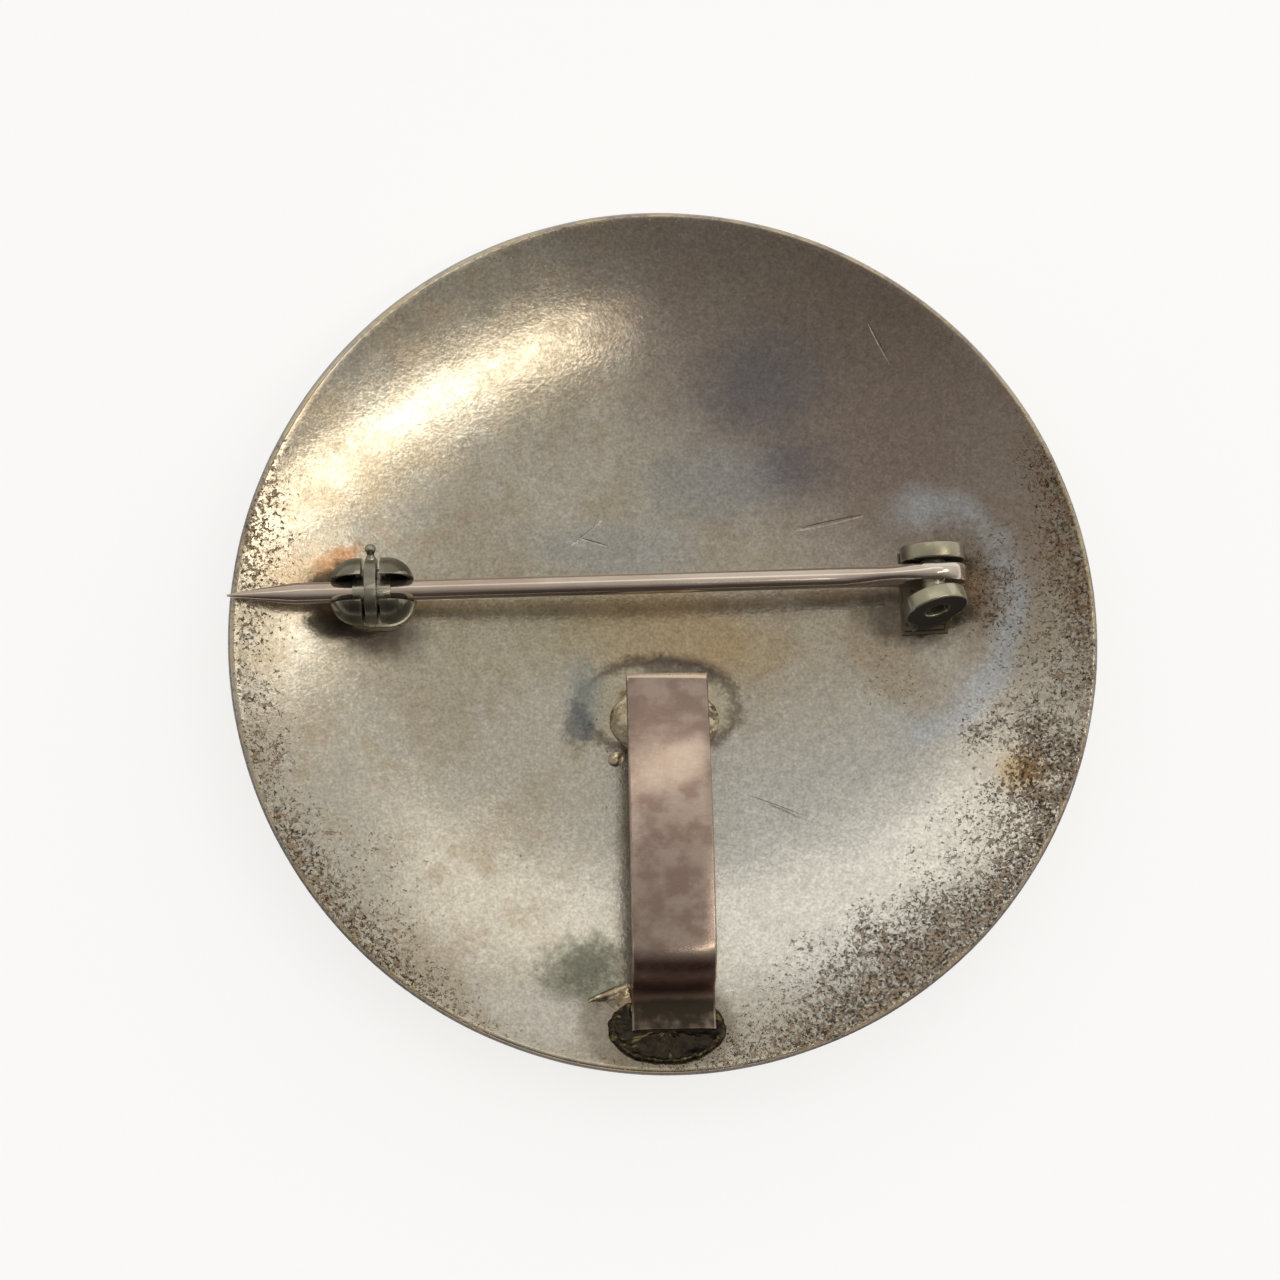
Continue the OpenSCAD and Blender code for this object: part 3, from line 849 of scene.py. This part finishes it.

# %% [markdown]
# ## Tools for the finishes
# Every finish is built from nodes that read the place on the object, in millimetres. What
# more than one finish needs is made once as a node group: a stain with a ragged edge, a
# field of fine specks, a fine metal grain, and bright worn edges with dirt and painted shade
# in the corners.

# %% Helpers for node trees
def add(tree, kind, inputs=None, **settings):
    made = tree.nodes.new(kind)
    for name, value in settings.items():
        setattr(made, name, value)
    for name, value in (inputs or {}).items():
        if isinstance(value, bpy.types.NodeSocket):
            tree.links.new(value, made.inputs[name])
        else:
            made.inputs[name].default_value = value
    return made


def calc(tree, operation, a, b=0.0, c=0.0):
    return add(tree, 'ShaderNodeMath', {0: a, 1: b, 2: c}, operation=operation).outputs[0]


def remap(tree, value, low, high, to_low=0.0, to_high=1.0, smooth=True):
    how = 'SMOOTHSTEP' if smooth else 'LINEAR'
    return add(tree, 'ShaderNodeMapRange', {0: value, 1: low, 2: high, 3: to_low, 4: to_high},
               interpolation_type=how).outputs[0]


def tint(tree, share, under, over, how='MIX'):
    mix = add(tree, 'ShaderNodeMix', {0: share, 6: under, 7: over}, data_type='RGBA',
              blend_type=how)
    return mix.outputs[2]


def colour(red, green, blue):
    linear = [((v / 255 + 0.055) / 1.055) ** 2.4 for v in (red, green, blue)]
    return (*linear, 1)


def new_group(name, inputs, outputs):
    group = bpy.data.node_groups.new(name, 'ShaderNodeTree')
    for label, kind in inputs:
        group.interface.new_socket(label, in_out='INPUT', socket_type='NodeSocket' + kind)
    for label, kind in outputs:
        group.interface.new_socket(label, in_out='OUTPUT', socket_type='NodeSocket' + kind)
    return group, group.nodes.new('NodeGroupInput'), group.nodes.new('NodeGroupOutput')


def use(tree, group, inputs):
    placed = add(tree, 'ShaderNodeGroup', node_tree=group)
    for name, value in inputs.items():
        if isinstance(value, bpy.types.NodeSocket):
            tree.links.new(value, placed.inputs[name])
        else:
            placed.inputs[name].default_value = value
    return placed.outputs


# %% Group: a stain with a ragged edge
stain, stain_in, stain_out = new_group(
    "stain", [("Place", 'Vector'), ("Centre", 'Vector'), ("Size", 'Vector'), ("Turn", 'Float'),
              ("Soft", 'Float'), ("Ragged", 'Float'), ("Ragged Scale", 'Float')],
    [("Mask", 'Float'), ("Distance", 'Float')])
flat = add(stain, 'ShaderNodeVectorMath',
           {0: stain_in.outputs["Place"], 1: (1, 1, 0)}, operation='MULTIPLY')
moved = add(stain, 'ShaderNodeVectorMath',
            {0: flat.outputs[0], 1: stain_in.outputs["Centre"]}, operation='SUBTRACT')
spun = add(stain, 'ShaderNodeVectorRotate',
           {"Vector": moved.outputs[0], "Angle": stain_in.outputs["Turn"]},
           rotation_type='Z_AXIS')
shrunk = add(stain, 'ShaderNodeVectorMath',
             {0: spun.outputs[0], 1: stain_in.outputs["Size"]}, operation='DIVIDE')
length = add(stain, 'ShaderNodeVectorMath', {0: shrunk.outputs[0]}, operation='LENGTH')
ragged = add(stain, 'ShaderNodeTexNoise',
             {"Vector": stain_in.outputs["Place"], "Scale": stain_in.outputs["Ragged Scale"],
              "Detail": 5.0, "Roughness": 0.65})
shaken = calc(stain, 'MULTIPLY_ADD', calc(stain, 'SUBTRACT', ragged.outputs[0], 0.5),
              stain_in.outputs["Ragged"], length.outputs["Value"])
fade_from = calc(stain, 'ADD', 1.0, stain_in.outputs["Soft"])
fade_to = calc(stain, 'SUBTRACT', 1.0, stain_in.outputs["Soft"])
stain.links.new(remap(stain, shaken, fade_from, fade_to), stain_out.inputs["Mask"])
stain.links.new(shaken, stain_out.inputs["Distance"])

# %% Group: fine specks, denser where asked
specks, specks_in, specks_out = new_group(
    "specks", [("Place", 'Vector'), ("Scale", 'Float'), ("Density", 'Float'),
               ("Sharp", 'Float')], [("Mask", 'Float')])
crumbs = add(specks, 'ShaderNodeTexNoise',
             {"Vector": specks_in.outputs["Place"], "Scale": specks_in.outputs["Scale"],
              "Detail": 5.0, "Roughness": 0.75})
bar = calc(specks, 'MULTIPLY_ADD', specks_in.outputs["Density"], -0.34, 0.74)
bar_top = calc(specks, 'ADD', bar, specks_in.outputs["Sharp"])
specks.links.new(remap(specks, crumbs.outputs[0], bar, bar_top), specks_out.inputs["Mask"])

# %% Group: metal grain in two sizes
grain, grain_in, grain_out = new_group(
    "metal_grain", [("Place", 'Vector'), ("Fine Scale", 'Float'), ("Coarse Scale", 'Float')],
    [("Fine", 'Float'), ("Coarse", 'Float')])
for label, detail in (("Fine", 2.0), ("Coarse", 4.0)):
    cloud = add(grain, 'ShaderNodeTexNoise',
                {"Vector": grain_in.outputs["Place"],
                 "Scale": grain_in.outputs[label + " Scale"], "Detail": detail,
                 "Roughness": 0.55})
    grain.links.new(cloud.outputs[0], grain_out.inputs[label])

# %% Group: bright worn edges, and dirt with painted shade in the corners
wear_and_shade, wear_in, wear_out = new_group(
    "edge_wear_and_crease_shade", [("Place", 'Vector'), ("Strength", 'Float')],
    [("Worn", 'Float'), ("Dirt And Shade", 'Float')])
shape = add(wear_and_shade, 'ShaderNodeNewGeometry')
patchy = add(wear_and_shade, 'ShaderNodeTexNoise', {"Vector": wear_in.outputs["Place"], "Scale": 1.4,
                                          "Detail": 4.0})
sharp = calc(wear_and_shade, 'MULTIPLY_ADD', calc(wear_and_shade, 'SUBTRACT', patchy.outputs[0], 0.5), 0.05,
             shape.outputs["Pointiness"])
wear_and_shade.links.new(calc(wear_and_shade, 'MULTIPLY', remap(wear_and_shade, sharp, 0.51, 0.57),
                    wear_in.outputs["Strength"]), wear_out.inputs["Worn"])
# Dirt with painted shade in hollow corners, where the surface bends inward
wear_and_shade.links.new(calc(wear_and_shade, 'MULTIPLY', remap(wear_and_shade, sharp, 0.49, 0.43),
                    wear_in.outputs["Strength"]), wear_out.inputs["Dirt And Shade"])
print("node groups:", [group.name for group in (stain, specks, grain, wear_and_shade)])


# %% A new finish, and the place on the object in millimetres
def new_finish(name):
    finish = bpy.data.materials.new(name)
    finish.use_nodes = True
    tree = finish.node_tree
    tree.nodes.clear()
    metal = tree.nodes.new('ShaderNodeBsdfPrincipled')
    out = tree.nodes.new('ShaderNodeOutputMaterial')
    tree.links.new(metal.outputs[0], out.inputs[0])
    where = add(tree, 'ShaderNodeTexCoord')
    scaled = add(tree, 'ShaderNodeVectorMath', {0: where.outputs["Object"], "Scale": 1 / mm},
                 operation='SCALE')
    return finish, tree, metal, scaled.outputs[0]


def bumps(tree, metal, layers):
    normal = None
    for height, depth in layers:
        bump = add(tree, 'ShaderNodeBump', {"Height": height, "Distance": depth * mm,
                                            "Strength": 1.0})
        if normal:
            tree.links.new(normal, bump.inputs["Normal"])
        normal = bump.outputs[0]
    tree.links.new(normal, metal.inputs["Normal"])


def wear_finish(finish, *pieces):
    for piece in pieces:
        piece.data.materials.clear()
        piece.data.materials.append(finish)


# %% [markdown]
# ## The tarnished silver of the dish
# Old silver tarnishes in thin films: straw, then brown, purple and blue-grey. Dirt and
# small brown crumbs of corrosion gather along the rim, and the heat of soldering left
# halos and flux stains round every joint. Painted shadows lie under the hinge and the
# catch, and a painted highlight low on the right. All of these are masks that lay one
# colour over another, from the pale bare metal up to the black specks.

# %% The dish's ground colour and tarnish films
dish_finish, tree, metal, place = new_finish("tarnished_dish")
films = use(tree, grain, {"Place": place, "Fine Scale": 6.0, "Coarse Scale": 0.16})
fine = films["Fine"]
broad = films["Coarse"]
clouds = add(tree, 'ShaderNodeTexNoise', {"Vector": place, "Scale": 0.45, "Detail": 6.0,
                                          "Roughness": 0.6}).outputs[0]
ground = tint(tree, remap(tree, broad, 0.42, 0.6), colour(196, 189, 172),
              colour(186, 176, 156))
ground = tint(tree, calc(tree, 'MULTIPLY', remap(tree, clouds, 0.5, 0.66), 0.5), ground,
              colour(172, 156, 130))


def patch(centre, size, turn, soft, ragged, scale):
    return use(tree, stain, {"Place": place, "Centre": (*centre, 0), "Size": (*size, 1),
                             "Turn": math.radians(-turn), "Soft": soft, "Ragged": ragged,
                             "Ragged Scale": scale})["Mask"]


def lay(ground, over, share, *shape):
    return tint(tree, calc(tree, 'MULTIPLY', patch(*shape), share), ground, colour(*over))


# Broad films
for stained in (
        ((150, 136, 124), 0.8, (9, 17), (15, 9), -35, 0.5, 0.7, 0.2),
        ((140, 122, 110), 0.6, (17, 12), (9, 12), 35, 0.5, 0.8, 0.3),
        ((205, 203, 194), 0.8, (10, -13), (13, 9), 20, 0.6, 0.6, 0.25),
        ((116, 113, 118), 0.7, (5.6, 15.4), (3.4, 2.7), 20, 0.8, 1.2, 0.8),
        ((110, 107, 114), 0.65, (7.4, 10.2), (2.4, 1.6), 10, 0.8, 1.3, 0.9),
        ((162, 163, 161), 0.6, (2.6, 9.3), (3.6, 2.2), 0, 0.6, 1.3, 1.0),
        ((172, 173, 170), 0.6, (-3.0, 5.4), (4.6, 1.6), 0, 0.6, 1.3, 1.0),
        ((186, 160, 118), 0.75, (0.6, 0.2), (6.2, 2.6), -5, 0.5, 0.7, 0.6),
        ((178, 170, 140), 0.5, (-8, 0.5), (6.5, 3.0), 10, 0.5, 0.7, 0.5)):
    ground = lay(ground, *stained)

# %% Stains round the joints, painted shadows under the hinge and the catch, and a painted highlight
# A bluish crescent lies round the hinge, left when its solder was heated
crescent = use(tree, stain, {"Place": place, "Centre": (14.6, 1.2, 0), "Size": (5.4, 6.6, 1),
                             "Turn": 0.2, "Soft": 0.2, "Ragged": 0.35, "Ragged Scale": 0.6})
near = remap(tree, crescent["Distance"], 0.72, 0.98)
far_off = remap(tree, crescent["Distance"], 1.3, 1.05)
to_right = remap(tree, add(tree, 'ShaderNodeSeparateXYZ', {0: place}).outputs[0], 12.0, 15.5)
halo = calc(tree, 'MULTIPLY', calc(tree, 'MULTIPLY', near, far_off), to_right)
ground = tint(tree, calc(tree, 'MULTIPLY', halo, 0.8), ground, colour(186, 188, 188))
for stained in (
        ((128, 108, 82), 0.65, (17.6, 4.0), (2.0, 3.4), 15, 0.5, 1.6, 2.0),
        ((156, 124, 80), 0.35, (13.2, -1.4), (3.4, 1.5), -42, 0.6, 2.2, 1.6),
        # Painted shadow on the dish below and left of the hinge's ears
        ((84, 72, 58), 0.8, (14.2, 1.2), (2.6, 1.4), -10, 0.5, 0.8, 1.2),
        # Painted shadow on the dish below the catch
        ((70, 60, 50), 0.85, (-17.2, 0.4), (2.9, 1.6), -8, 0.5, 0.7, 1.0),
        # Painted golden highlight on the dish, low on the right inside the rim
        ((176, 140, 74), 0.6, (20.4, -7.8), (1.2, 1.1), 0, 0.6, 2.0, 1.8),
        ((176, 112, 62), 0.7, (-18.9, 4.3), (1.5, 0.6), 35, 0.5, 2.6, 2.6),
        ((198, 164, 120), 0.4, (-20.2, 3.0), (2.4, 2.0), 0, 0.6, 1.2, 1.0),
        # Flux and solder halo round the post
        ((104, 90, 76), 0.9, (-0.3, -3.9), (4.9, 3.05), 0, 0.1, 0.5, 1.6),
        ((200, 190, 164), 0.9, (-0.3, -3.9), (4.35, 2.55), 0, 0.12, 0.5, 1.6),
        ((96, 84, 76), 0.7, (1.0, -1.7), (2.6, 0.8), -8, 0.4, 0.8, 1.8),
        ((150, 156, 150), 0.6, (-4.6, -3.2), (1.0, 2.1), 10, 0.5, 1.6, 1.6),
        ((86, 92, 98), 0.6, (-5.0, -5.0), (0.8, 1.2), 0, 0.5, 2.4, 2.2),
        # Greenish stain and pale solder smear by the strap's foot
        ((118, 118, 100), 0.75, (-4.7, -19.4), (2.6, 2.1), 20, 0.4, 1.6, 1.3),
        ((78, 80, 66), 0.6, (-4.5, -19.1), (1.5, 1.2), 20, 0.5, 2.6, 2.0),
        ((214, 208, 196), 0.6, (-6.5, -21.8), (3.6, 1.3), -15, 0.5, 0.8, 0.8),
        ((84, 66, 40), 0.55, (-0.5, -22.2), (4.4, 2.6), 0, 0.16, 0.3, 1.4)):
    ground = lay(ground, *stained)

# %% Crumbs of corrosion along the rim
from_centre = add(tree, 'ShaderNodeVectorMath',
                  {0: add(tree, 'ShaderNodeVectorMath', {0: place, 1: (1, 1, 0)},
                          operation='MULTIPLY').outputs[0]},
                  operation='LENGTH').outputs["Value"]
crumb_zones = remap(tree, from_centre, 21.2, 26.0, 0.0, 0.5)
for centre, size, turn, much in (((17.5, -13.0), (9.0, 4.5), 48, 0.5),
                                 ((9.0, -20.5), (8.0, 3.6), 20, 0.5),
                                 ((-17.5, -14.0), (9.5, 4.0), -50, 0.45),
                                 ((-22.3, 2.5), (2.6, 7.5), 5, 0.4),
                                 ((21.5, 1.5), (3.4, 10.0), -5, 0.55),
                                 ((13.2, -2.2), (4.5, 2.2), -35, 0.45),
                                 ((16.5, 4.5), (2.6, 3.6), 20, 0.4),
                                 ((-6.0, -11.0), (6.0, 5.0), 0, 0.3),
                                 ((-0.4, -3.9), (5.6, 3.5), 0, 0.35)):
    zone = patch(centre, size, turn, 0.75, 1.2, 0.5)
    crumb_zones = calc(tree, 'MULTIPLY_ADD', zone, much, crumb_zones)
crumb_zones = calc(tree, 'MINIMUM', crumb_zones, 0.85)
brown = use(tree, specks, {"Place": place, "Scale": 3.1, "Density": crumb_zones,
                           "Sharp": 0.08})["Mask"]
black = use(tree, specks, {"Place": place, "Scale": 5.2,
                           "Density": calc(tree, 'MULTIPLY', crumb_zones, 0.8),
                           "Sharp": 0.06})["Mask"]
film_edge = remap(tree, from_centre, 18.5, 25.5)
ground = tint(tree, calc(tree, 'MULTIPLY', film_edge, 0.14), ground, colour(150, 130, 106))
ground = tint(tree, calc(tree, 'MULTIPLY', brown, 0.6), ground, colour(140, 104, 62))
ground = tint(tree, calc(tree, 'MULTIPLY', black, 0.85), ground, colour(50, 38, 29))
few = use(tree, specks, {"Place": place, "Scale": 2.2, "Density": 0.1, "Sharp": 0.04})["Mask"]
ground = tint(tree, calc(tree, 'MULTIPLY', few, 0.7), ground, colour(74, 66, 56))
pale = use(tree, specks, {"Place": place, "Scale": 4.5, "Density": 0.3, "Sharp": 0.08})["Mask"]
ground = tint(tree, calc(tree, 'MULTIPLY', pale, 0.4), ground, colour(232, 226, 212))
medium = add(tree, 'ShaderNodeTexNoise', {"Vector": place, "Scale": 2.4, "Detail": 4.0,
                                           "Roughness": 0.7}).outputs[0]
mottle = calc(tree, 'MULTIPLY', remap(tree, fine, 0.3, 0.7, 0.8, 1.14, smooth=False),
              remap(tree, medium, 0.3, 0.7, 0.83, 1.12, smooth=False))
ground = tint(tree, 1.0, ground, add(tree, 'ShaderNodeCombineColor',
                                     {0: mottle, 1: mottle, 2: mottle}).outputs[0],
              'MULTIPLY')
bright_rim = calc(tree, 'MULTIPLY', remap(tree, from_centre, 24.45, 24.6),
                  remap(tree, clouds, 0.4, 0.6))
ground = tint(tree, calc(tree, 'MULTIPLY', bright_rim, 0.7), ground, colour(214, 196, 160))
ground = tint(tree, remap(tree, from_centre, 24.66, 24.8), ground, colour(74, 60, 48))
tree.links.new(ground, metal.inputs["Base Color"])

# %% Gloss, scratches and relief of the dish
metal.inputs["Metallic"].default_value = 0.85
dull = calc(tree, 'MULTIPLY_ADD', brown, 0.2, remap(tree, clouds, 0.35, 0.7, 0.15, 0.21))
tree.links.new(calc(tree, 'MULTIPLY_ADD', black, 0.2, dull), metal.inputs["Roughness"])
cuts = 0.0
for centre, size, turn in (((6.5, -9.7), (1.6, 0.045), -20), ((6.9, -10.0), (1.2, 0.04), -24),
                           ((9.8, 7.1), (1.8, 0.1), 12), ((-4.6, 6.4), (0.9, 0.06), 40),
                           ((-4.2, 5.9), (0.7, 0.06), -15), ((12.6, 17.4), (1.1, 0.05), -60)):
    cuts = calc(tree, 'MAXIMUM', patch(centre, size, turn, 0.5, 0.9, 1.2), cuts)
bumps(tree, metal, [(fine, 0.004), (medium, 0.004), (clouds, 0.011), (brown, -0.015),
                    (black, -0.02), (few, -0.03), (cuts, -0.03)])
wear_finish(dish_finish, dish)


# %% [markdown]
# ## The other metals
# The strap, the solder, the catch, the hinge and the wire are all tarnished metal too, but
# each has its own tint and gloss. One function lays the same kinds of layers with each
# one's own colours: two films of tarnish, dirt with painted shade in the corners, painted
# shade on upright sides, bright worn edges, a fine grain in the gloss and the relief. Where
# asked, a metal is darkened with painted shade and a painted dark reflection and roughened
# below one line, and given painted highlights towards the other end.

# %% A tarnished metal with its own films
def tarnished(name, main, film, dirt_and_shade, bright, gloss, grain_way=(1, 1, 1), relief=0.004,
              strength=0.8, pits=0.1, flank_shade=0.0, shade_line=None):
    finish, tree, metal, place = new_finish(name)
    drawn = add(tree, 'ShaderNodeMapping', {"Vector": place, "Scale": grain_way}).outputs[0]
    both = use(tree, grain, {"Place": drawn, "Fine Scale": 5.0, "Coarse Scale": 0.7})
    body = tint(tree, remap(tree, both["Coarse"], 0.38, 0.64), colour(*main), colour(*film))
    facing = add(tree, 'ShaderNodeSeparateXYZ',
                 {0: add(tree, 'ShaderNodeTexCoord').outputs["Normal"]}).outputs[2]
    # Painted shade on upright sides: the more a face turns sideways, the darker, rougher and less
    # metallic it is made
    side = calc(tree, 'MULTIPLY', remap(tree, facing, 0.65, 0.3), flank_shade)
    body = tint(tree, side, body, colour(*dirt_and_shade))
    rough = calc(tree, 'MULTIPLY_ADD', both["Fine"], 0.2, gloss - 0.1)
    rough = calc(tree, 'MULTIPLY_ADD', side, 0.3, rough)
    if shade_line:
        # Painted dark reflection in brown on the shoulder, and painted shade in black below the
        # line, down the leg and over the foot
        parts = add(tree, 'ShaderNodeSeparateXYZ', {0: place})
        shade_level = calc(tree, 'MULTIPLY_ADD', both["Coarse"], 0.8, parts.outputs[1])
        body = tint(tree, calc(tree, 'MULTIPLY', remap(tree, shade_level, shade_line + 2.9, shade_line + 2.2),
                               0.7), body, colour(104, 70, 60))
        body = tint(tree, remap(tree, shade_level, shade_line + 0.9, shade_line), body, colour(58, 50, 40))
        # A painted highlight on the shoulder, and a painted highlight along the rounded edge of the
        # free end
        painted_highlight = use(tree, stain, {"Place": place, "Centre": (0.3, -7.6, 0),
                                   "Size": (2.4, 1.1, 1), "Turn": -0.35, "Soft": 0.7,
                                   "Ragged": 0.6, "Ragged Scale": 0.8})["Mask"]
        body = tint(tree, calc(tree, 'MULTIPLY', painted_highlight, 0.42), body, colour(*bright))
        body = tint(tree, remap(tree, parts.outputs[1], -2.6, -2.5), body, colour(*bright))
        rough = calc(tree, 'MULTIPLY_ADD', remap(tree, shade_level, shade_line + 2.4, shade_line + 1.4), 0.28,
                     rough)
    edges = use(tree, wear_and_shade, {"Place": place, "Strength": strength})
    # Dirt and painted shade in the hollow corners
    body = tint(tree, edges["Dirt And Shade"], body, colour(*dirt_and_shade))
    body = tint(tree, edges["Worn"], body, colour(*bright))
    pitted = use(tree, specks, {"Place": place, "Scale": 3.0, "Density": pits,
                                "Sharp": 0.05})["Mask"]
    body = tint(tree, calc(tree, 'MULTIPLY', pitted, 0.7), body, colour(*dirt_and_shade))
    tree.links.new(body, metal.inputs["Base Color"])
    # The painted shade on upright sides also lowers the metallic weight
    tree.links.new(calc(tree, 'MULTIPLY_ADD', side, -0.6, 0.9), metal.inputs["Metallic"])
    tree.links.new(rough, metal.inputs["Roughness"])
    bumps(tree, metal, [(both["Fine"], relief), (both["Coarse"], relief * 3),
                        (pitted, -0.015)])
    return finish


# The strap has painted shade and a painted dark reflection towards its foot, and painted highlights
# on its shoulder and free end
strap_finish = tarnished("tarnished_strap", (166, 148, 134), (144, 122, 110), (72, 54, 46),
                         (236, 214, 190), 0.24, (1, 1.2, 1), relief=0.003, pits=0.02,
                         shade_line=-20.6)
solder_finish = tarnished("flowed_solder", (214, 200, 168), (150, 130, 104), (52, 44, 38),
                          (240, 228, 200), 0.2, relief=0.012, pits=0.3)
burnt_finish = tarnished("burnt_solder", (58, 51, 40), (40, 35, 29), (24, 20, 17),
                         (166, 148, 92), 0.38, relief=0.02, strength=0.35, pits=0.4)
# The seats of the catch and the hinge are made dark, for flux and painted shade
seat_shade_finish = tarnished("seat_solder_painted_shade", (70, 62, 50), (54, 47, 38), (34, 29, 24),
                        (112, 102, 82), 0.45, relief=0.012, pits=0.4)
# The catch and the hinge get painted shade on their upright sides
catch_finish = tarnished("dark_catch", (118, 113, 97), (94, 89, 76), (44, 42, 36),
                         (198, 192, 172), 0.28, flank_shade=0.3)
hinge_finish = tarnished("worn_hinge", (170, 164, 138), (140, 134, 110), (48, 43, 36),
                         (224, 218, 196), 0.3, strength=0.5, flank_shade=1.0)
# The lever gets a lighter copy of the catch's finish, a painted highlight for the knob
knob_highlight_finish = tarnished("knob_painted_highlight", (156, 150, 132), (116, 110, 94), (44, 42, 36),
                        (226, 220, 202), 0.22)
wire_finish = tarnished("bright_wire", (214, 200, 184), (190, 172, 156), (86, 62, 54),
                        (236, 226, 214), 0.16, (0.12, 1, 1), relief=0.002, pits=0.02)
kept = bpy.data.objects
wear_finish(strap_finish, strap, kept["strap_post"])
wear_finish(solder_finish, bead, drop, ridge)
wear_finish(burnt_finish, pool)
wear_finish(seat_shade_finish, kept["catch_solder"], kept["hinge_solder"], kept["hinge_base"])
wear_finish(catch_finish, half_barrel, other_half, tube, ring, kept["catch_base"])
wear_finish(knob_highlight_finish, lever)
wear_finish(hinge_finish, upper_ear, lower_ear, rivet)
wear_finish(wire_finish, pin)
print("finishes:", [finish.name for finish in bpy.data.materials if finish.use_nodes])

# %% [markdown]
# ## Floor and light
# The floor is plain and almost white. The light is that of a bright room: strong and soft
# from above and behind, weaker from the sides, and dark on the side of the strap's foot,
# where someone stands and looks. Four long soft lamps lift it: one gives the bright arc
# inside the rim, one carries that arc on to the left, and two brighten the right side and
# the strap.

# %% The pale floor
floor_finish, tree, paper, place = new_finish("pale_floor")
paper.inputs["Base Color"].default_value = (0.35, 0.348, 0.345, 1)
paper.inputs["Roughness"].default_value = 0.9
paper.inputs["Emission Color"].default_value = (1.0, 0.995, 0.985, 1)
paper.inputs["Emission Strength"].default_value = 0.725
wear_finish(floor_finish, floor)

# %% The light of the room
world = bpy.data.worlds.new("room")
bpy.context.scene.world = world
world.use_nodes = True
tree = world.node_tree
tree.nodes.clear()
sight = add(tree, 'ShaderNodeTexCoord').outputs["Generated"]
parts = add(tree, 'ShaderNodeSeparateXYZ', {0: sight})
ramp = add(tree, 'ShaderNodeValToRGB', {0: calc(tree, 'MULTIPLY_ADD', parts.outputs[1], 0.5,
                                                0.5)})
ramp.color_ramp.interpolation = 'EASE'
ramp.color_ramp.elements[0].position = 0.08
ramp.color_ramp.elements[0].color = (0.07, 0.05, 0.045, 1)
ramp.color_ramp.elements[1].position = 0.95
ramp.color_ramp.elements[1].color = (1.25, 1.24, 1.22, 1)
for position, level in ((0.24, 0.4), (0.42, 0.78), (0.55, 0.98), (0.75, 1.12)):
    step = ramp.color_ramp.elements.new(position)
    step.color = (level, level * 0.985, level * 0.96, 1)
across = remap(tree, parts.outputs[0], -0.9, 0.7, 0.92, 1.12, smooth=False)
room = add(tree, 'ShaderNodeBackground',
           {"Color": ramp.outputs[0], "Strength": calc(tree, 'MULTIPLY', across, 0.62)})
add(tree, 'ShaderNodeOutputWorld', {0: room.outputs[0]})


def lamp(name, start_way, end_way, distance, width, power, warm=(1, 1, 1)):
    """A long soft lamp that reaches from one direction to another, seen from the badge."""
    first = Vector(start_way).normalized() * distance
    last = Vector(end_way).normalized() * distance
    data = bpy.data.lights.new(name, 'AREA')
    data.shape = 'RECTANGLE'
    data.size = (last - first).length
    data.size_y = width
    data.energy = power
    data.color = warm
    lamp_object = bpy.data.objects.new(name, data)
    bpy.context.scene.collection.objects.link(lamp_object)
    middle = (first + last) / 2
    long_way = (last - first).normalized()
    back = middle.normalized()
    turned = Matrix((long_way, back.cross(long_way), back)).transposed().to_4x4()
    lamp_object.matrix_world = Matrix.Translation(middle) @ turned
    print(name, "is", round(data.size, 3), "m long")


lamp("arc_lamp", (0.16, -0.28, 0.95), (0.72, 0.06, 0.69), 0.5, 0.03, 0.22,
     (1, 0.93, 0.82))
lamp("left_lamp", (0.44, 0.06, 0.89), (0.64, 0.20, 0.74), 0.5, 0.06, 0.055,
     (1, 0.95, 0.86))
lamp("right_lamp", (-0.28, 0.33, 0.90), (-0.50, 0.42, 0.76), 0.5, 0.12, 0.04,
     (1, 0.95, 0.90))
lamp("top_softbox", (-0.30, 0.47, 0.86), (0.42, 0.47, 0.86), 0.6, 0.15, 0.12,
     (1, 0.97, 0.93))
bpy.context.scene.view_settings.view_transform = 'Standard'
